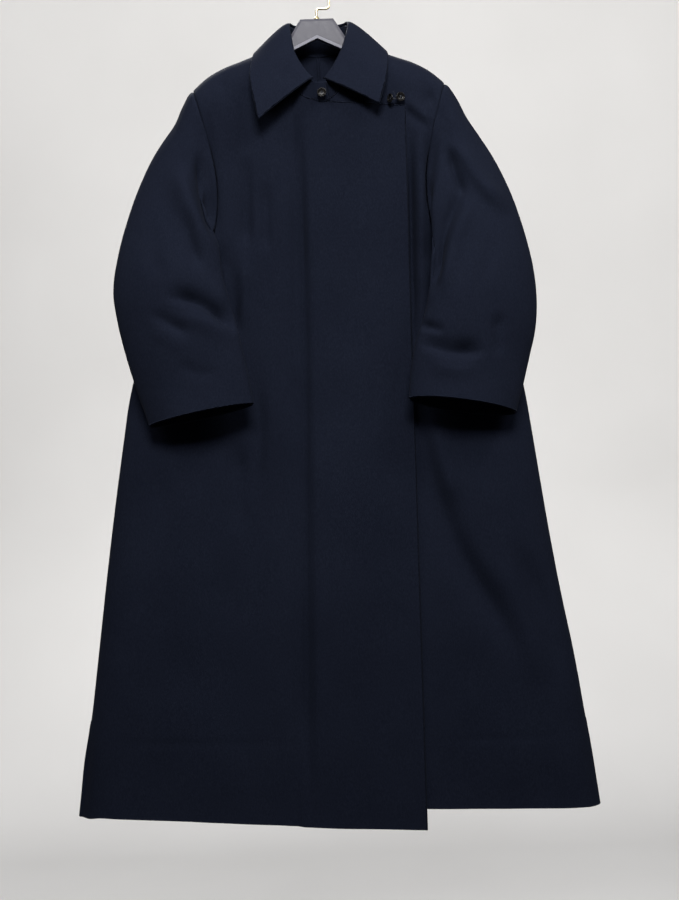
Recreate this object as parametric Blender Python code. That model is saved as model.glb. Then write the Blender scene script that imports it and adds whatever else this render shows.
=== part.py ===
"""Long wrap coat hung on its hanger.

Metres, +Z up, the front faces -Y and the wearer's left is +X.
The origin is the underside of the hook's top bar, where it rests on a rod.
"""
import math

import bmesh
import bpy
import numpy as np


def table(names, *rows):
    """Columns of a short table, by name."""
    return dict(zip(names.split(), np.array(rows, float).T))


# Cloth thicknesses and the spaces between pieces
CLOTH = 0.0022
COLLAR_CLOTH = 0.0030
SEAM_GAP = 0.0003
LAYER_RISE = 0.0046
STEP_WIDTH = 0.012
STEP_CLEARANCE = 0.006
SLEEVE_SEAM_HALF_GAP = SEAM_GAP
NECK_SEAM_ROOM = 4 * SEAM_GAP
FOLD_ROOM = 10 * SEAM_GAP

# Body sections from the neck down: half width to the side fold, depths before and behind the hanger
BODY = table(
    "height half_width front back side_round",
    (-0.080, 0.262, 0.044, 0.036, 0.080),
    (-0.200, 0.256, 0.042, 0.037, 0.080),
    (-0.330, 0.250, 0.038, 0.036, 0.080),
    (-0.400, 0.248, 0.035, 0.035, 0.080),
    (-0.462, 0.200, 0.033, 0.034, 0.080),
    (-0.500, 0.238, 0.032, 0.034, 0.090),
    (-0.560, 0.284, 0.031, 0.034, 0.100),
    (-0.660, 0.319, 0.032, 0.035, 0.100),
    (-0.754, 0.336, 0.035, 0.036, 0.085),
    (-0.916, 0.3615, 0.039, 0.037, 0.075),
    (-1.078, 0.384, 0.041, 0.037, 0.070),
    (-1.200, 0.401, 0.041, 0.037, 0.065),
    (-1.375, 0.424, 0.040, 0.036, 0.065),
)

# How much narrower the left side hangs than the right
LEFT_NARROWER = table(
    "height narrower",
    (-0.600, 0.0000),
    (-0.660, 0.0040),
    (-0.750, 0.0065),
    (-0.820, 0.0085),
    (-0.920, 0.0095),
    (-1.000, 0.0080),
    (-1.100, 0.0035),
    (-1.200, 0.0025),
    (-1.375, 0.0025),
)

# Top fold of the shoulder from the middle outwards, and how far below it the panels round over
SHOULDER = table(
    "x height",
    (0.000, -0.088),
    (0.058, -0.107),
    (0.127, -0.1325),
    (0.153, -0.142),
    (0.180, -0.157),
    (0.204, -0.177),
)
SHOULDER_ROUND = 0.060

# Armhole seams from the underarm up to the shoulder point
UNDERARM_HEIGHT = -0.462
FRONT_ARMHOLE = table(
    "x height",
    (0.200, -0.462),
    (0.188, -0.449),
    (0.1775, -0.428),
    (0.170, -0.390),
    (0.167, -0.340),
    (0.178, -0.268),
    (0.193, -0.212),
    (0.204, -0.177),
)
BACK_ARMHOLE = table(
    "x height",
    (0.200, -0.462),
    (0.192, -0.446),
    (0.188, -0.420),
    (0.186, -0.390),
    (0.184, -0.330),
    (0.190, -0.268),
    (0.198, -0.215),
    (0.204, -0.177),
)

# Neck seam from the centre outwards to the shoulder
FRONT_NECK = table(
    "x height",
    (0.000, -0.2100),
    (0.020, -0.2040),
    (0.037, -0.1870),
    (0.050, -0.1560),
    (0.0565, -0.1280),
    (0.058, -0.1070),
)
BACK_NECK = table(
    "x height",
    (0.000, -0.1165),
    (0.030, -0.1145),
    (0.049, -0.1105),
    (0.058, -0.1070),
)

# The two fronts: plumb wrap edge, its squared corner, the hidden edge of the under front, the hems
WRAP_X = 0.137
WRAP_CORNER_HEIGHT = -0.2210
HIDDEN_EDGE = table(
    "height x",
    (-0.215, -0.025),
    (-1.162, -0.049),
    (-1.345, -0.052),
)
UNDERARM_ROW_INNER = -0.600
SLEEVE_SPLIT_ROW_INNER = -0.430
BACK_ROW_HEIGHTS = (-0.560, -0.400)
LEFT_NECK_START = 0.16
WRAP_LINE_SHOWN = 0.004
HEM_SIDE = {"right": -1.346, "left": -1.351}
HEM_WRAP_EDGE = -1.374
HEM_HIDDEN_EDGE = -1.336
HEM_BACK_CENTRE = -1.352
HEM_FLAT_RISE = {"right": 0.0085, "left": 0.0020}
HEM_RISE_START = 0.09
HEM_RISE_END = 0.75

# Slits at the foot of the side seams, and the pocket mouths left open higher up
SLIT_TOP = {"right": -1.194, "left": -1.210}
SLIT_HALF_OPENING = 0.0045
SLIT_SPREAD = {"right": 0.004, "left": 0.0005}
SLIT_EASE = 0.030
SLIT_SPREAD_EASE = 0.050
POCKET_TOP = -0.545
POCKET_FOOT = -0.722
POCKET_HALF_OPENING = 0.0020

# Gentle unevenness of the hanging fronts: height, and wave lengths across and down
WAVE_HEIGHT = 0.0004
WAVE_ACROSS = 0.170
WAVE_DOWN = 0.230

# Largest folds of the fronts: from, to, sideways bow, half width, height (ridges positive, troughs negative)
FOLD_TAPER = 0.42
FRONT_FOLDS = table(
    "x0 z0 x1 z1 bow width height",
    (-0.116, -0.290, -0.123, -0.450, 0.000, 0.017, -0.0035),
    (-0.086, -0.335, -0.091, -0.450, 0.000, 0.013, -0.0022),
    (-0.126, -0.450, -0.131, -0.565, 0.000, 0.014, 0.0035),
    (-0.145, -0.745, -0.149, -0.890, 0.000, 0.022, -0.0035),
    (0.152, -0.225, 0.142, -0.610, 0.000, 0.010, -0.0040),
    (0.168, -0.225, 0.158, -0.610, 0.000, 0.016, 0.0035),
    (0.134, -0.208, 0.180, -0.250, 0.000, 0.009, 0.0030),
    (0.140, -0.660, 0.300, -1.120, 0.030, 0.026, -0.0120),
    (0.164, -0.690, 0.215, -0.900, 0.010, 0.024, 0.0080),
    (0.290, -0.905, 0.365, -1.180, -0.012, 0.026, -0.0085),
    (0.262, -0.930, 0.330, -1.150, -0.006, 0.028, 0.0050),
)
BACK_FOLDS = table(
    "x0 z0 x1 z1 bow width height",
    (-0.120, -0.600, -0.170, -1.300, 0.000, 0.034, -0.0060),
    (0.135, -0.650, 0.160, -1.330, 0.000, 0.036, -0.0055),
    (-0.235, -0.760, -0.290, -1.330, 0.000, 0.030, 0.0060),
    (0.245, -0.800, 0.285, -1.340, 0.000, 0.032, 0.0060),
    (-0.110, -0.240, -0.125, -0.460, 0.000, 0.022, -0.0035),
    (0.115, -0.250, 0.120, -0.450, 0.000, 0.022, -0.0035),
)

# Sleeve sections down to the cuff: outer fold, inner fold, depths before and behind, tilt of the opening
SLEEVE_COLUMNS = "outer_x outer_y outer_z inner_x inner_y inner_z front back tilt"
SLEEVES = {
    "right": table(
        SLEEVE_COLUMNS,
        (0.232, -0.006, -0.230, 0.169, -0.060, -0.452, 0.026, 0.030, 0.000),
        (0.266, -0.016, -0.281, 0.164, -0.064, -0.474, 0.034, 0.026, 0.000),
        (0.300, -0.028, -0.356, 0.157, -0.066, -0.502, 0.038, 0.019, 0.000),
        (0.324, -0.038, -0.434, 0.149, -0.067, -0.530, 0.040, 0.016, 0.000),
        (0.3355, -0.044, -0.503, 0.142, -0.068, -0.556, 0.041, 0.015, 0.000),
        (0.330, -0.048, -0.549, 0.136, -0.070, -0.585, 0.039, 0.015, 0.001),
        (0.317, -0.052, -0.608, 0.129, -0.072, -0.620, 0.037, 0.016, 0.002),
        (0.301, -0.056, -0.664, 0.122, -0.074, -0.655, 0.034, 0.018, 0.003),
        (0.282, -0.060, -0.720, 0.117, -0.076, -0.690, 0.031, 0.020, 0.005),
    ),
    "left": table(
        SLEEVE_COLUMNS,
        (0.238, -0.006, -0.238, 0.172, -0.060, -0.455, 0.026, 0.030, 0.000),
        (0.272, -0.016, -0.295, 0.168, -0.064, -0.482, 0.034, 0.026, 0.000),
        (0.303, -0.028, -0.367, 0.165, -0.066, -0.512, 0.038, 0.019, 0.000),
        (0.324, -0.038, -0.445, 0.160, -0.067, -0.540, 0.040, 0.016, 0.000),
        (0.3345, -0.044, -0.520, 0.152, -0.068, -0.568, 0.041, 0.015, 0.000),
        (0.3315, -0.048, -0.578, 0.142, -0.070, -0.594, 0.039, 0.015, 0.002),
        (0.319, -0.052, -0.630, 0.135, -0.072, -0.624, 0.037, 0.016, 0.004),
        (0.307, -0.056, -0.675, 0.130, -0.074, -0.656, 0.034, 0.018, 0.006),
        (0.294, -0.060, -0.716, 0.127, -0.076, -0.690, 0.031, 0.020, 0.009),
    ),
}
SLEEVE_HEAD_SHARES = (0.20, 0.43, 0.72)
LAP_ROWS = (-2.0, 1.0, 2.0)
ROUND_SIDE_ROWS = (-1.3, 0.7, 2.0)
BEHIND_ROWS = (0.0, 1.5, 3.0)
UNDERARM_ANGLE = 1.45 * math.pi
UNDERARM_HUG = 1.5
UNDERARM_OUTWARD = 0.40
UNDERARM_SWING = 0.014
UNDERARM_LEAD = 0.0050
UNDERARM_LIFT = CLOTH + 4 * SEAM_GAP
UNDERARM_ROOM = 2 * SEAM_GAP
SLEEVE_FOLDS = {
    "right": table(
        "x0 z0 x1 z1 bow width height",
        (-0.226, -0.290, -0.163, -0.480, -0.008, 0.013, 0.0080),
        (-0.216, -0.385, -0.190, -0.480, 0.000, 0.011, -0.0060),
        (-0.195, -0.290, -0.175, -0.420, 0.000, 0.011, -0.0080),
        (-0.240, -0.518, -0.140, -0.570, -0.006, 0.012, -0.0090),
        (-0.268, -0.545, -0.214, -0.582, 0.000, 0.010, -0.0050),
    ),
    "left": table(
        "x0 z0 x1 z1 bow width height",
        (0.212, -0.280, 0.290, -0.402, 0.006, 0.014, 0.0070),
        (0.208, -0.305, 0.224, -0.368, 0.000, 0.010, -0.0060),
        (0.224, -0.355, 0.166, -0.525, 0.006, 0.012, -0.0070),
        (0.150, -0.600, 0.243, -0.620, -0.005, 0.012, -0.0090),
        (0.269, -0.565, 0.268, -0.620, 0.000, 0.011, -0.0045),
    ),
}

# Collar stations from the front end round to the centre back: the fold, and the leaf's outer edge
COLLAR = table(
    "fold_x fold_y fold_z edge_x edge_y edge_z",
    (0.0075, -0.0500, -0.1770, 0.0950, -0.0740, -0.2250),
    (0.0215, -0.0470, -0.1600, 0.1040, -0.0660, -0.1960),
    (0.0400, -0.0350, -0.1230, 0.1110, -0.0490, -0.1600),
    (0.0490, -0.0020, -0.0745, 0.1105, -0.0040, -0.1225),
    (0.0370, 0.0260, -0.0660, 0.0860, 0.0440, -0.1340),
    (0.0000, 0.0370, -0.0660, 0.0000, 0.0560, -0.1480),
)
RIGHT_POINT_DROP = 0.020
RIGHT_FOLD_IN = 0.006
RIGHT_SIDE_IN = 0.010
RIGHT_SIDE_RISE = 0.0042
RIGHT_SIDE_REACH = 1.6
LEAF_ROLL_OUT = 0.0114
LEAF_ROLL_UP = 0.004
STAND_OVERLAP_RIGHT = 0.017
STAND_OVERLAP_LEFT = 0.007
STAND_END_LIFT = 0.003
STAND_END_SLANT = 0.8
SIDE_STATION = 3
FRONT_STATIONS = 2

# Buttons: place on the front, turn about the upright axis, distance from the cloth
BUTTON_RADIUS = 0.0074
BUTTON_THICKNESS = 0.0032
BUTTONS = {
    "button_neck": (0.0050, -0.2000, 0.0, 0.0012),
    "button_wrap_outer": (0.1290, -0.2095, 12.0, 0.0030),
    "button_wrap_inner": (0.1140, -0.2125, -58.0, 0.0080),
}

# Hanger: half outline from the top middle outwards and back along the lower edge
HANGER_HALF_THICKNESS = 0.0060
HANGER_BEVEL = 0.0018
HANGER_OUTLINE = table(
    "x height",
    (0.0270, -0.0655),
    (0.0460, -0.0965),
    (0.0560, -0.1135),
    (0.0900, -0.1255),
    (0.1270, -0.1385),
    (0.1530, -0.1490),
    (0.1800, -0.1650),
    (0.1860, -0.1760),
    (0.1800, -0.1850),
    (0.1270, -0.1650),
    (0.0800, -0.1430),
    (0.0405, -0.1160),
    (0.0000, -0.0970),
)

# Hook: stepped wire, squared over the rod
WIRE_RADIUS = 0.0018
HOOK_BEND = 0.0050
HOOK_FOOT = -0.0602
HOOK_STEP_HEIGHT = -0.0480
HOOK_HALF_WIDTH = 0.0207
HOOK_TIP_HEIGHT = -0.0240
FERRULE_PROFILE = ((0.0046, -0.0651), (0.0046, -0.0638), (0.0036, -0.0617), (0.0024, -0.0608))

# Mesh divisions
SKIRT_ROWS = 20
SIDE_CELLS = 4
SIDE_SHARE = 0.6
FRONT_FLAT_CELLS = {"right": 12, "left": 11}
FRONT_LAP_CELLS = {"right": 7, "left": 5}
ARMHOLE_STOPS = (0.0, 0.20, 0.50, 0.74, 1.0)
ARMHOLE_ROWS = (4, 4, 3, 5)
BACK_CELLS = 8
BACK_SKIRT_ROWS = 14
BACK_ARMHOLE_STOPS = (0.0, 0.28, 0.70, 1.0)
BACK_ARMHOLE_ROWS = (3, 4, 4)
SLEEVE_RINGS = 20
SLEEVE_SMOOTHING = 2
LEAF_CELLS = 6
STAND_CELLS = 2
BUTTON_SIDES = 16
FERRULE_SIDES = 16
WIRE_SIDES = 10
BEND_STEPS = 4
NECK_EDGE_PARTS = 2

# Colours (linear) and surfaces
NAVY = (0.0112, 0.0138, 0.0250)
NAVY_INSIDE = (0.0095, 0.0118, 0.0220)
HORN = (0.0080, 0.0060, 0.0055)
GREY = (0.200, 0.196, 0.225)
BRASS = (0.620, 0.480, 0.270)
WOOL_ROUGHNESS = 0.92
HORN_ROUGHNESS = 0.25
PAINT_ROUGHNESS = 0.45
BRASS_ROUGHNESS = 0.30


def material(name, colour, roughness, metallic=0.0):
    """A Principled material of one colour."""
    made = bpy.data.materials.new(name)
    made.use_nodes = True
    shader = made.node_tree.nodes["Principled BSDF"]
    shader.inputs["Base Color"].default_value = (*colour, 1.0)
    shader.inputs["Roughness"].default_value = roughness
    shader.inputs["Metallic"].default_value = metallic
    return made


def smooth(at, keys, values):
    """Smooth curve through keyed values, held level past both ends."""
    keys = np.asarray(keys, float)
    values = np.asarray(values, float)
    if keys[0] > keys[-1]:
        keys = keys[::-1]
        values = values[::-1]
    slopes = np.gradient(values, keys)
    at = np.clip(np.asarray(at, float), keys[0], keys[-1])
    index = np.clip(np.searchsorted(keys, at) - 1, 0, len(keys) - 2)
    span = keys[index + 1] - keys[index]
    t = (at - keys[index]) / span
    start = (1 + 2 * t) * (1 - t) ** 2 * values[index] + t * (1 - t) ** 2 * span * slopes[index]
    end = t * t * (3 - 2 * t) * values[index + 1] + t * t * (t - 1) * span * slopes[index + 1]
    return start + end


def along(points, shares):
    """Points at shares of the length of a smooth curve through the given points."""
    points = np.asarray(points, float)
    steps = np.linalg.norm(np.diff(points, axis=0), axis=1)
    keys = np.concatenate(([0.0], np.cumsum(steps)))
    at = np.asarray(shares, float) * keys[-1]
    return np.stack([smooth(at, keys, column) for column in points.T], axis=-1)


def curve(columns, shares, side=1.0):
    """Points (x, z) at shares of the length of a seam given as a table."""
    points = along(np.stack([columns["x"], columns["height"]], axis=-1), shares)
    points[..., 0] *= side
    return points


def ease(value, low, high):
    """0 below low, 1 above high, smooth between."""
    t = np.clip((np.asarray(value, float) - low) / (high - low), 0.0, 1.0)
    return t * t * (3 - 2 * t)


def unit(vectors):
    """Vectors of length one."""
    length = np.linalg.norm(vectors, axis=-1, keepdims=True)
    return vectors / np.maximum(length, 1e-12)


def body(name, z):
    """A column of the body's section table at a height."""
    return smooth(z, BODY["height"], BODY[name])


def shoulder_height(x):
    """Height of the shoulder's top fold."""
    return smooth(np.abs(x), SHOULDER["x"], SHOULDER["height"])


def half_width(x, z):
    """Distance of the side fold from the middle, on the side that x lies on."""
    left = np.where(np.asarray(x) > 0.0, 1.0, 0.0)
    return body("half_width", z) - left * smooth(z, LEFT_NARROWER["height"], LEFT_NARROWER["narrower"])


def fullness(x, z):
    """Share of the body's depth at a place: 1 on the flat, 0 on the side and shoulder folds."""
    round_over = body("side_round", z)
    over_side = np.clip((np.abs(x) - half_width(x, z)) / round_over + 1.0, 0.0, 1.0)
    over_top = np.clip(1.0 - (shoulder_height(x) - z) / SHOULDER_ROUND, 0.0, 1.0)
    return np.sqrt(1.0 - over_side**2) * np.sqrt(1.0 - over_top**2)


def fold_height(folds, x, z):
    """Height of a table's folds at a place."""
    total = np.zeros(np.broadcast(x, z).shape)
    for x0, z0, x1, z1, bow, width, height in zip(*folds.values()):
        length = math.hypot(x1 - x0, z1 - z0)
        run_x = (x1 - x0) / length
        run_z = (z1 - z0) / length
        share = ((x - x0) * run_x + (z - z0) * run_z) / length
        inside = np.clip(share, 0.0, 1.0)
        off = (x - x0) * run_z - (z - z0) * run_x - bow * 4 * inside * (1 - inside)
        taper = np.exp(-(((share - 0.5) / FOLD_TAPER) ** 4))
        total += height * np.exp(-((off / width) ** 2)) * taper
    return total


def front_depth(x, z):
    """y of the under layer of the fronts."""
    full = fullness(x, z)
    wave = WAVE_HEIGHT * np.sin(2 * math.pi * x / WAVE_ACROSS) * np.cos(2 * math.pi * z / WAVE_DOWN)
    return -(body("front", z) + fold_height(FRONT_FOLDS, x, z) + wave) * full


def step_start(z):
    """x where the outer front begins to rise over the hidden edge."""
    return smooth(z, HIDDEN_EDGE["height"], HIDDEN_EDGE["x"]) - STEP_CLEARANCE - STEP_WIDTH


def outer_depth(x, z):
    """y of the outer front, which rises over the hidden edge of the under front."""
    start = step_start(z)
    return front_depth(x, z) - LAYER_RISE * ease(x, start, start + STEP_WIDTH)


def back_depth(x, z):
    """y of the back panels."""
    full = fullness(x, z)
    return body("back", z) * full + fold_height(BACK_FOLDS, x, z) * full


def seam_opening(z, side):
    """Half the space between front and back along a side seam."""
    slit = ease(-z, -SLIT_TOP[side], SLIT_EASE - SLIT_TOP[side]) * SLIT_HALF_OPENING
    middle = 0.5 * (POCKET_TOP + POCKET_FOOT)
    reach = 0.5 * (POCKET_TOP - POCKET_FOOT)
    mouth = np.clip(1.0 - ((z - middle) / reach) ** 2, 0.0, 1.0) * POCKET_HALF_OPENING
    return 0.5 * SEAM_GAP + slit + mouth


def side_edge(z, side):
    """x of the side seam, spreading a little at the slit."""
    spread = ease(-z, -SLIT_TOP[side], SLIT_SPREAD_EASE - SLIT_TOP[side]) * SLIT_SPREAD[side]
    return half_width(1.0 if side == "left" else -1.0, z) + spread


def panel_grid(outer, inner, columns, depth, side, facing, skirt_rows, top_rows):
    """Grid of a body panel between its outer edge (side seam, armhole) and its inner edge.

    outer and inner hold a point (x, z) for each row, columns the shares across for each row.
    """
    sign = 1.0 if side == "left" else -1.0
    flat = outer[:, None, :] + (inner - outer)[:, None, :] * columns[..., None]
    x = flat[..., 0]
    z = flat[..., 1]
    rows = len(outer)
    above_hem = np.arange(rows)[:, None] / skirt_rows
    low = (1.0 - ease(above_hem, 0.0, 1.0)) * np.clip(1.0 - columns / HEM_RISE_END, 0.0, 1.0)
    z = z + HEM_FLAT_RISE[side] * low * ease(columns, 0.0, HEM_RISE_START)
    weight = ease(np.arange(rows), rows - 1 - top_rows, rows - 1)[:, None] ** 2
    z = z + weight * (shoulder_height(x[-1]) - z[-1])[None, :]
    y = depth(x, z)
    y[-1] = 0.5 * SEAM_GAP * facing
    skirt = slice(0, skirt_rows + 1)
    opening = seam_opening(z[skirt, 0], side)
    depth_there = body("front" if facing < 0 else "back", z[skirt, 0])
    y[skirt, 0] = facing * opening
    drawn_in = body("side_round", z[skirt, 0]) * (1.0 - np.sqrt(1.0 - (opening / depth_there) ** 2))
    x[skirt, 0] = sign * (side_edge(z[skirt, 0], side) - drawn_in)
    return np.stack([x, y, z], axis=-1)


def grid_normals(points, facing, mirrored_rows):
    """Outward normals of a body panel, carried across side and shoulder seams by mirrored neighbours."""
    across = np.array((1.0, -1.0, 1.0))
    run = np.gradient(points, axis=1)
    rise = np.gradient(points, axis=0)
    seam = slice(0, mirrored_rows)
    run[seam, 0] = points[seam, 1] - points[seam, 1] * across
    rise[-1] = points[-2] * across - points[-2]
    normals = unit(np.cross(run, rise))
    middle = normals[len(points) // 2, points.shape[1] // 2]
    return normals if middle[1] * facing > 0 else -normals


def between(stops, counts):
    """Even steps between stops, a count for each run, without the first stop."""
    stops = np.asarray(stops, float)
    shape = (-1,) + (1,) * (stops.ndim - 1)
    runs = []
    for first, last, count in zip(stops, stops[1:], counts):
        share = np.linspace(0.0, 1.0, count + 1)[1:].reshape(shape)
        runs.append(first + (last - first) * share)
    return np.concatenate(runs)


def outer_edge(side, skirt_rows, armhole, stops, counts):
    """Outer edge points of a panel: side seam from the hem to the underarm, then armhole."""
    sign = 1.0 if side == "left" else -1.0
    heights = np.linspace(HEM_SIDE[side], UNDERARM_HEIGHT, skirt_rows + 1)
    seam = np.stack([sign * side_edge(heights, side), heights], axis=-1)
    return np.concatenate((seam, curve(armhole, between(stops, counts), sign)))


def column_shares(outer, inner, breaks, cells, rows, blend_rows):
    """Shares across each row: close together round the side fold, then even between breaks.

    breaks holds the x of the lines that columns follow below the underarm, outermost first.
    """
    angles = np.linspace(0.0, 0.5 * math.pi, SIDE_CELLS + 1)
    even = np.linspace(0.0, 1.0, SIDE_CELLS + sum(cells) + 1)
    made = []
    for row in range(len(outer)):
        start, end = outer[row, 0], inner[row, 0]
        stops = [*(line[row] for line in breaks), end]
        turn = min(float(body("side_round", outer[row, 1])), SIDE_SHARE * abs(start - stops[0]))
        turn = math.copysign(turn, start)
        stops.insert(0, start - turn)
        xs = list(start - turn * (1.0 - np.cos(angles)))
        for first, last, count in zip(stops, stops[1:], cells):
            xs += list(np.linspace(first, last, count + 1)[1:])
        shares = (np.array(xs) - start) / (end - start)
        if row < rows:
            followed = shares
        blend = ease(row, rows - 1, rows + blend_rows)
        made.append((1.0 - blend) * followed + blend * even)
    return np.array(made)


def front_right():
    """Grid and normals of the outer front."""
    outer = outer_edge("right", SKIRT_ROWS, FRONT_ARMHOLE, ARMHOLE_STOPS, ARMHOLE_ROWS)
    edge = np.linspace(HEM_WRAP_EDGE, UNDERARM_ROW_INNER, SKIRT_ROWS + 1)
    stops = (
        (WRAP_X, UNDERARM_ROW_INNER),
        (WRAP_X, SLEEVE_SPLIT_ROW_INNER),
        (WRAP_X, WRAP_CORNER_HEIGHT),
        (0.0, FRONT_NECK["height"][0]),
    )
    inner = np.concatenate((
        np.stack([np.full(len(edge), WRAP_X), edge], axis=-1),
        between(stops, ARMHOLE_ROWS),
        curve(FRONT_NECK, between((0.0, 1.0), ARMHOLE_ROWS[-1:]), -1.0),
    ))
    start = step_start(outer[:, 1])
    breaks = (start, start + STEP_WIDTH)
    cells = (FRONT_FLAT_CELLS["right"], 2, FRONT_LAP_CELLS["right"])
    shares = column_shares(outer, inner, breaks, cells, SKIRT_ROWS + 1, sum(ARMHOLE_ROWS[:2]))
    points = panel_grid(outer, inner, shares, outer_depth, "right", -1.0, SKIRT_ROWS, ARMHOLE_ROWS[-1])
    return points, grid_normals(points, -1.0, SKIRT_ROWS + 1)


def front_left():
    """Grid and normals of the under front."""
    outer = outer_edge("left", SKIRT_ROWS, FRONT_ARMHOLE, ARMHOLE_STOPS, ARMHOLE_ROWS)
    stops = (UNDERARM_ROW_INNER, SLEEVE_SPLIT_ROW_INNER, HIDDEN_EDGE["height"][0])
    heights = np.concatenate((
        np.linspace(HEM_HIDDEN_EDGE, UNDERARM_ROW_INNER, SKIRT_ROWS + 1),
        between(stops, ARMHOLE_ROWS),
    ))
    plumb = np.stack([smooth(heights, HIDDEN_EDGE["height"], HIDDEN_EDGE["x"]), heights], axis=-1)
    inner = np.concatenate((
        plumb,
        between((plumb[-1], curve(FRONT_NECK, LEFT_NECK_START)), ARMHOLE_ROWS[2:3]),
        curve(FRONT_NECK, between((LEFT_NECK_START, 1.0), ARMHOLE_ROWS[-1:])),
    ))
    breaks = (np.full(len(outer), WRAP_X + WRAP_LINE_SHOWN),)
    cells = (FRONT_FLAT_CELLS["left"], FRONT_LAP_CELLS["left"])
    shares = column_shares(outer, inner, breaks, cells, SKIRT_ROWS + 1, sum(ARMHOLE_ROWS[:2]))
    points = panel_grid(outer, inner, shares, front_depth, "left", -1.0, SKIRT_ROWS, ARMHOLE_ROWS[-1])
    return points, grid_normals(points, -1.0, SKIRT_ROWS + 1)


def back(side):
    """Grid and normals of a back panel."""
    sign = 1.0 if side == "left" else -1.0
    outer = outer_edge(side, BACK_SKIRT_ROWS, BACK_ARMHOLE, BACK_ARMHOLE_STOPS, BACK_ARMHOLE_ROWS)
    heights = np.concatenate((
        np.linspace(HEM_BACK_CENTRE, BACK_ROW_HEIGHTS[0], BACK_SKIRT_ROWS + 1),
        between((*BACK_ROW_HEIGHTS, BACK_NECK["height"][0]), BACK_ARMHOLE_ROWS),
    ))
    centre = np.stack([np.full(len(heights), 0.5 * sign * SEAM_GAP), heights], axis=-1)
    neck = curve(BACK_NECK, between((0.0, 1.0), BACK_ARMHOLE_ROWS[-1:]), sign)
    inner = np.concatenate((centre, neck))
    blend_rows = sum(BACK_ARMHOLE_ROWS[:2])
    shares = column_shares(outer, inner, (), (BACK_CELLS,), BACK_SKIRT_ROWS + 1, blend_rows)
    points = panel_grid(outer, inner, shares, back_depth, side, 1.0, BACK_SKIRT_ROWS, BACK_ARMHOLE_ROWS[-1])
    normals = grid_normals(points, 1.0, BACK_SKIRT_ROWS + 1)
    normals[: len(heights), -1, 0] = 0.0
    return points, unit(normals)


def sleeve_ring(section, angles, sign):
    """A sleeve section: flattened ring through its outer and inner folds."""
    outer = np.array((sign * section["outer_x"], section["outer_y"], section["outer_z"]))
    inner = np.array((sign * section["inner_x"], section["inner_y"], section["inner_z"]))
    middle = 0.5 * (outer + inner)
    ring = middle + 0.5 * (outer - inner) * np.cos(angles)[:, None]
    swell = np.sin(angles)
    ahead = section["front"] * np.clip(swell, 0.0, 1.0)
    hug = np.where(np.cos(angles) < 0.0, UNDERARM_HUG, 1.0)
    behind = section["back"] * np.clip(-swell, 0.0, 1.0) ** hug
    ring[:, 1] += behind - ahead
    ring[:, 2] += section["tilt"] * swell
    return ring


def armhole_loop(front, back_panel):
    """Points, outward directions and normals round an armhole: shoulder, front, underarm, back, shoulder."""
    loops = []
    for (points, normals), skirt_rows in ((front, SKIRT_ROWS), (back_panel, BACK_SKIRT_ROWS)):
        edge = points[skirt_rows:, 0]
        away = unit(np.cross(np.gradient(edge, axis=0), normals[skirt_rows:, 0]))
        middle = len(edge) // 2
        if away[middle, 0] * edge[middle, 0] < 0:
            away = -away
        loops.append((edge, away, normals[skirt_rows:, 0]))
    ahead, behind = loops
    edge, away, normals = (np.concatenate((a[::-1], b[1:])) for a, b in zip(ahead, behind))
    for values in (edge, away, normals):
        values[0] = values[-1] = 0.5 * (values[0] + values[-1])
    return edge, unit(away), unit(normals)


def patch(low, high, first, last, shares):
    """Rows between a low and a high run of points, following a line on each side.

    first and last hold a side point for each of the shares of the way up.
    """
    across = np.linspace(0.0, 1.0, len(low))[None, :, None]
    up = np.asarray(shares, float)[:, None, None]
    straight = (1 - up) * low + up * high
    first_off = first[:, None] - straight[:, :1]
    last_off = last[:, None] - straight[:, -1:]
    return straight + (1 - across) ** 3 * first_off + across**3 * last_off


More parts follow.
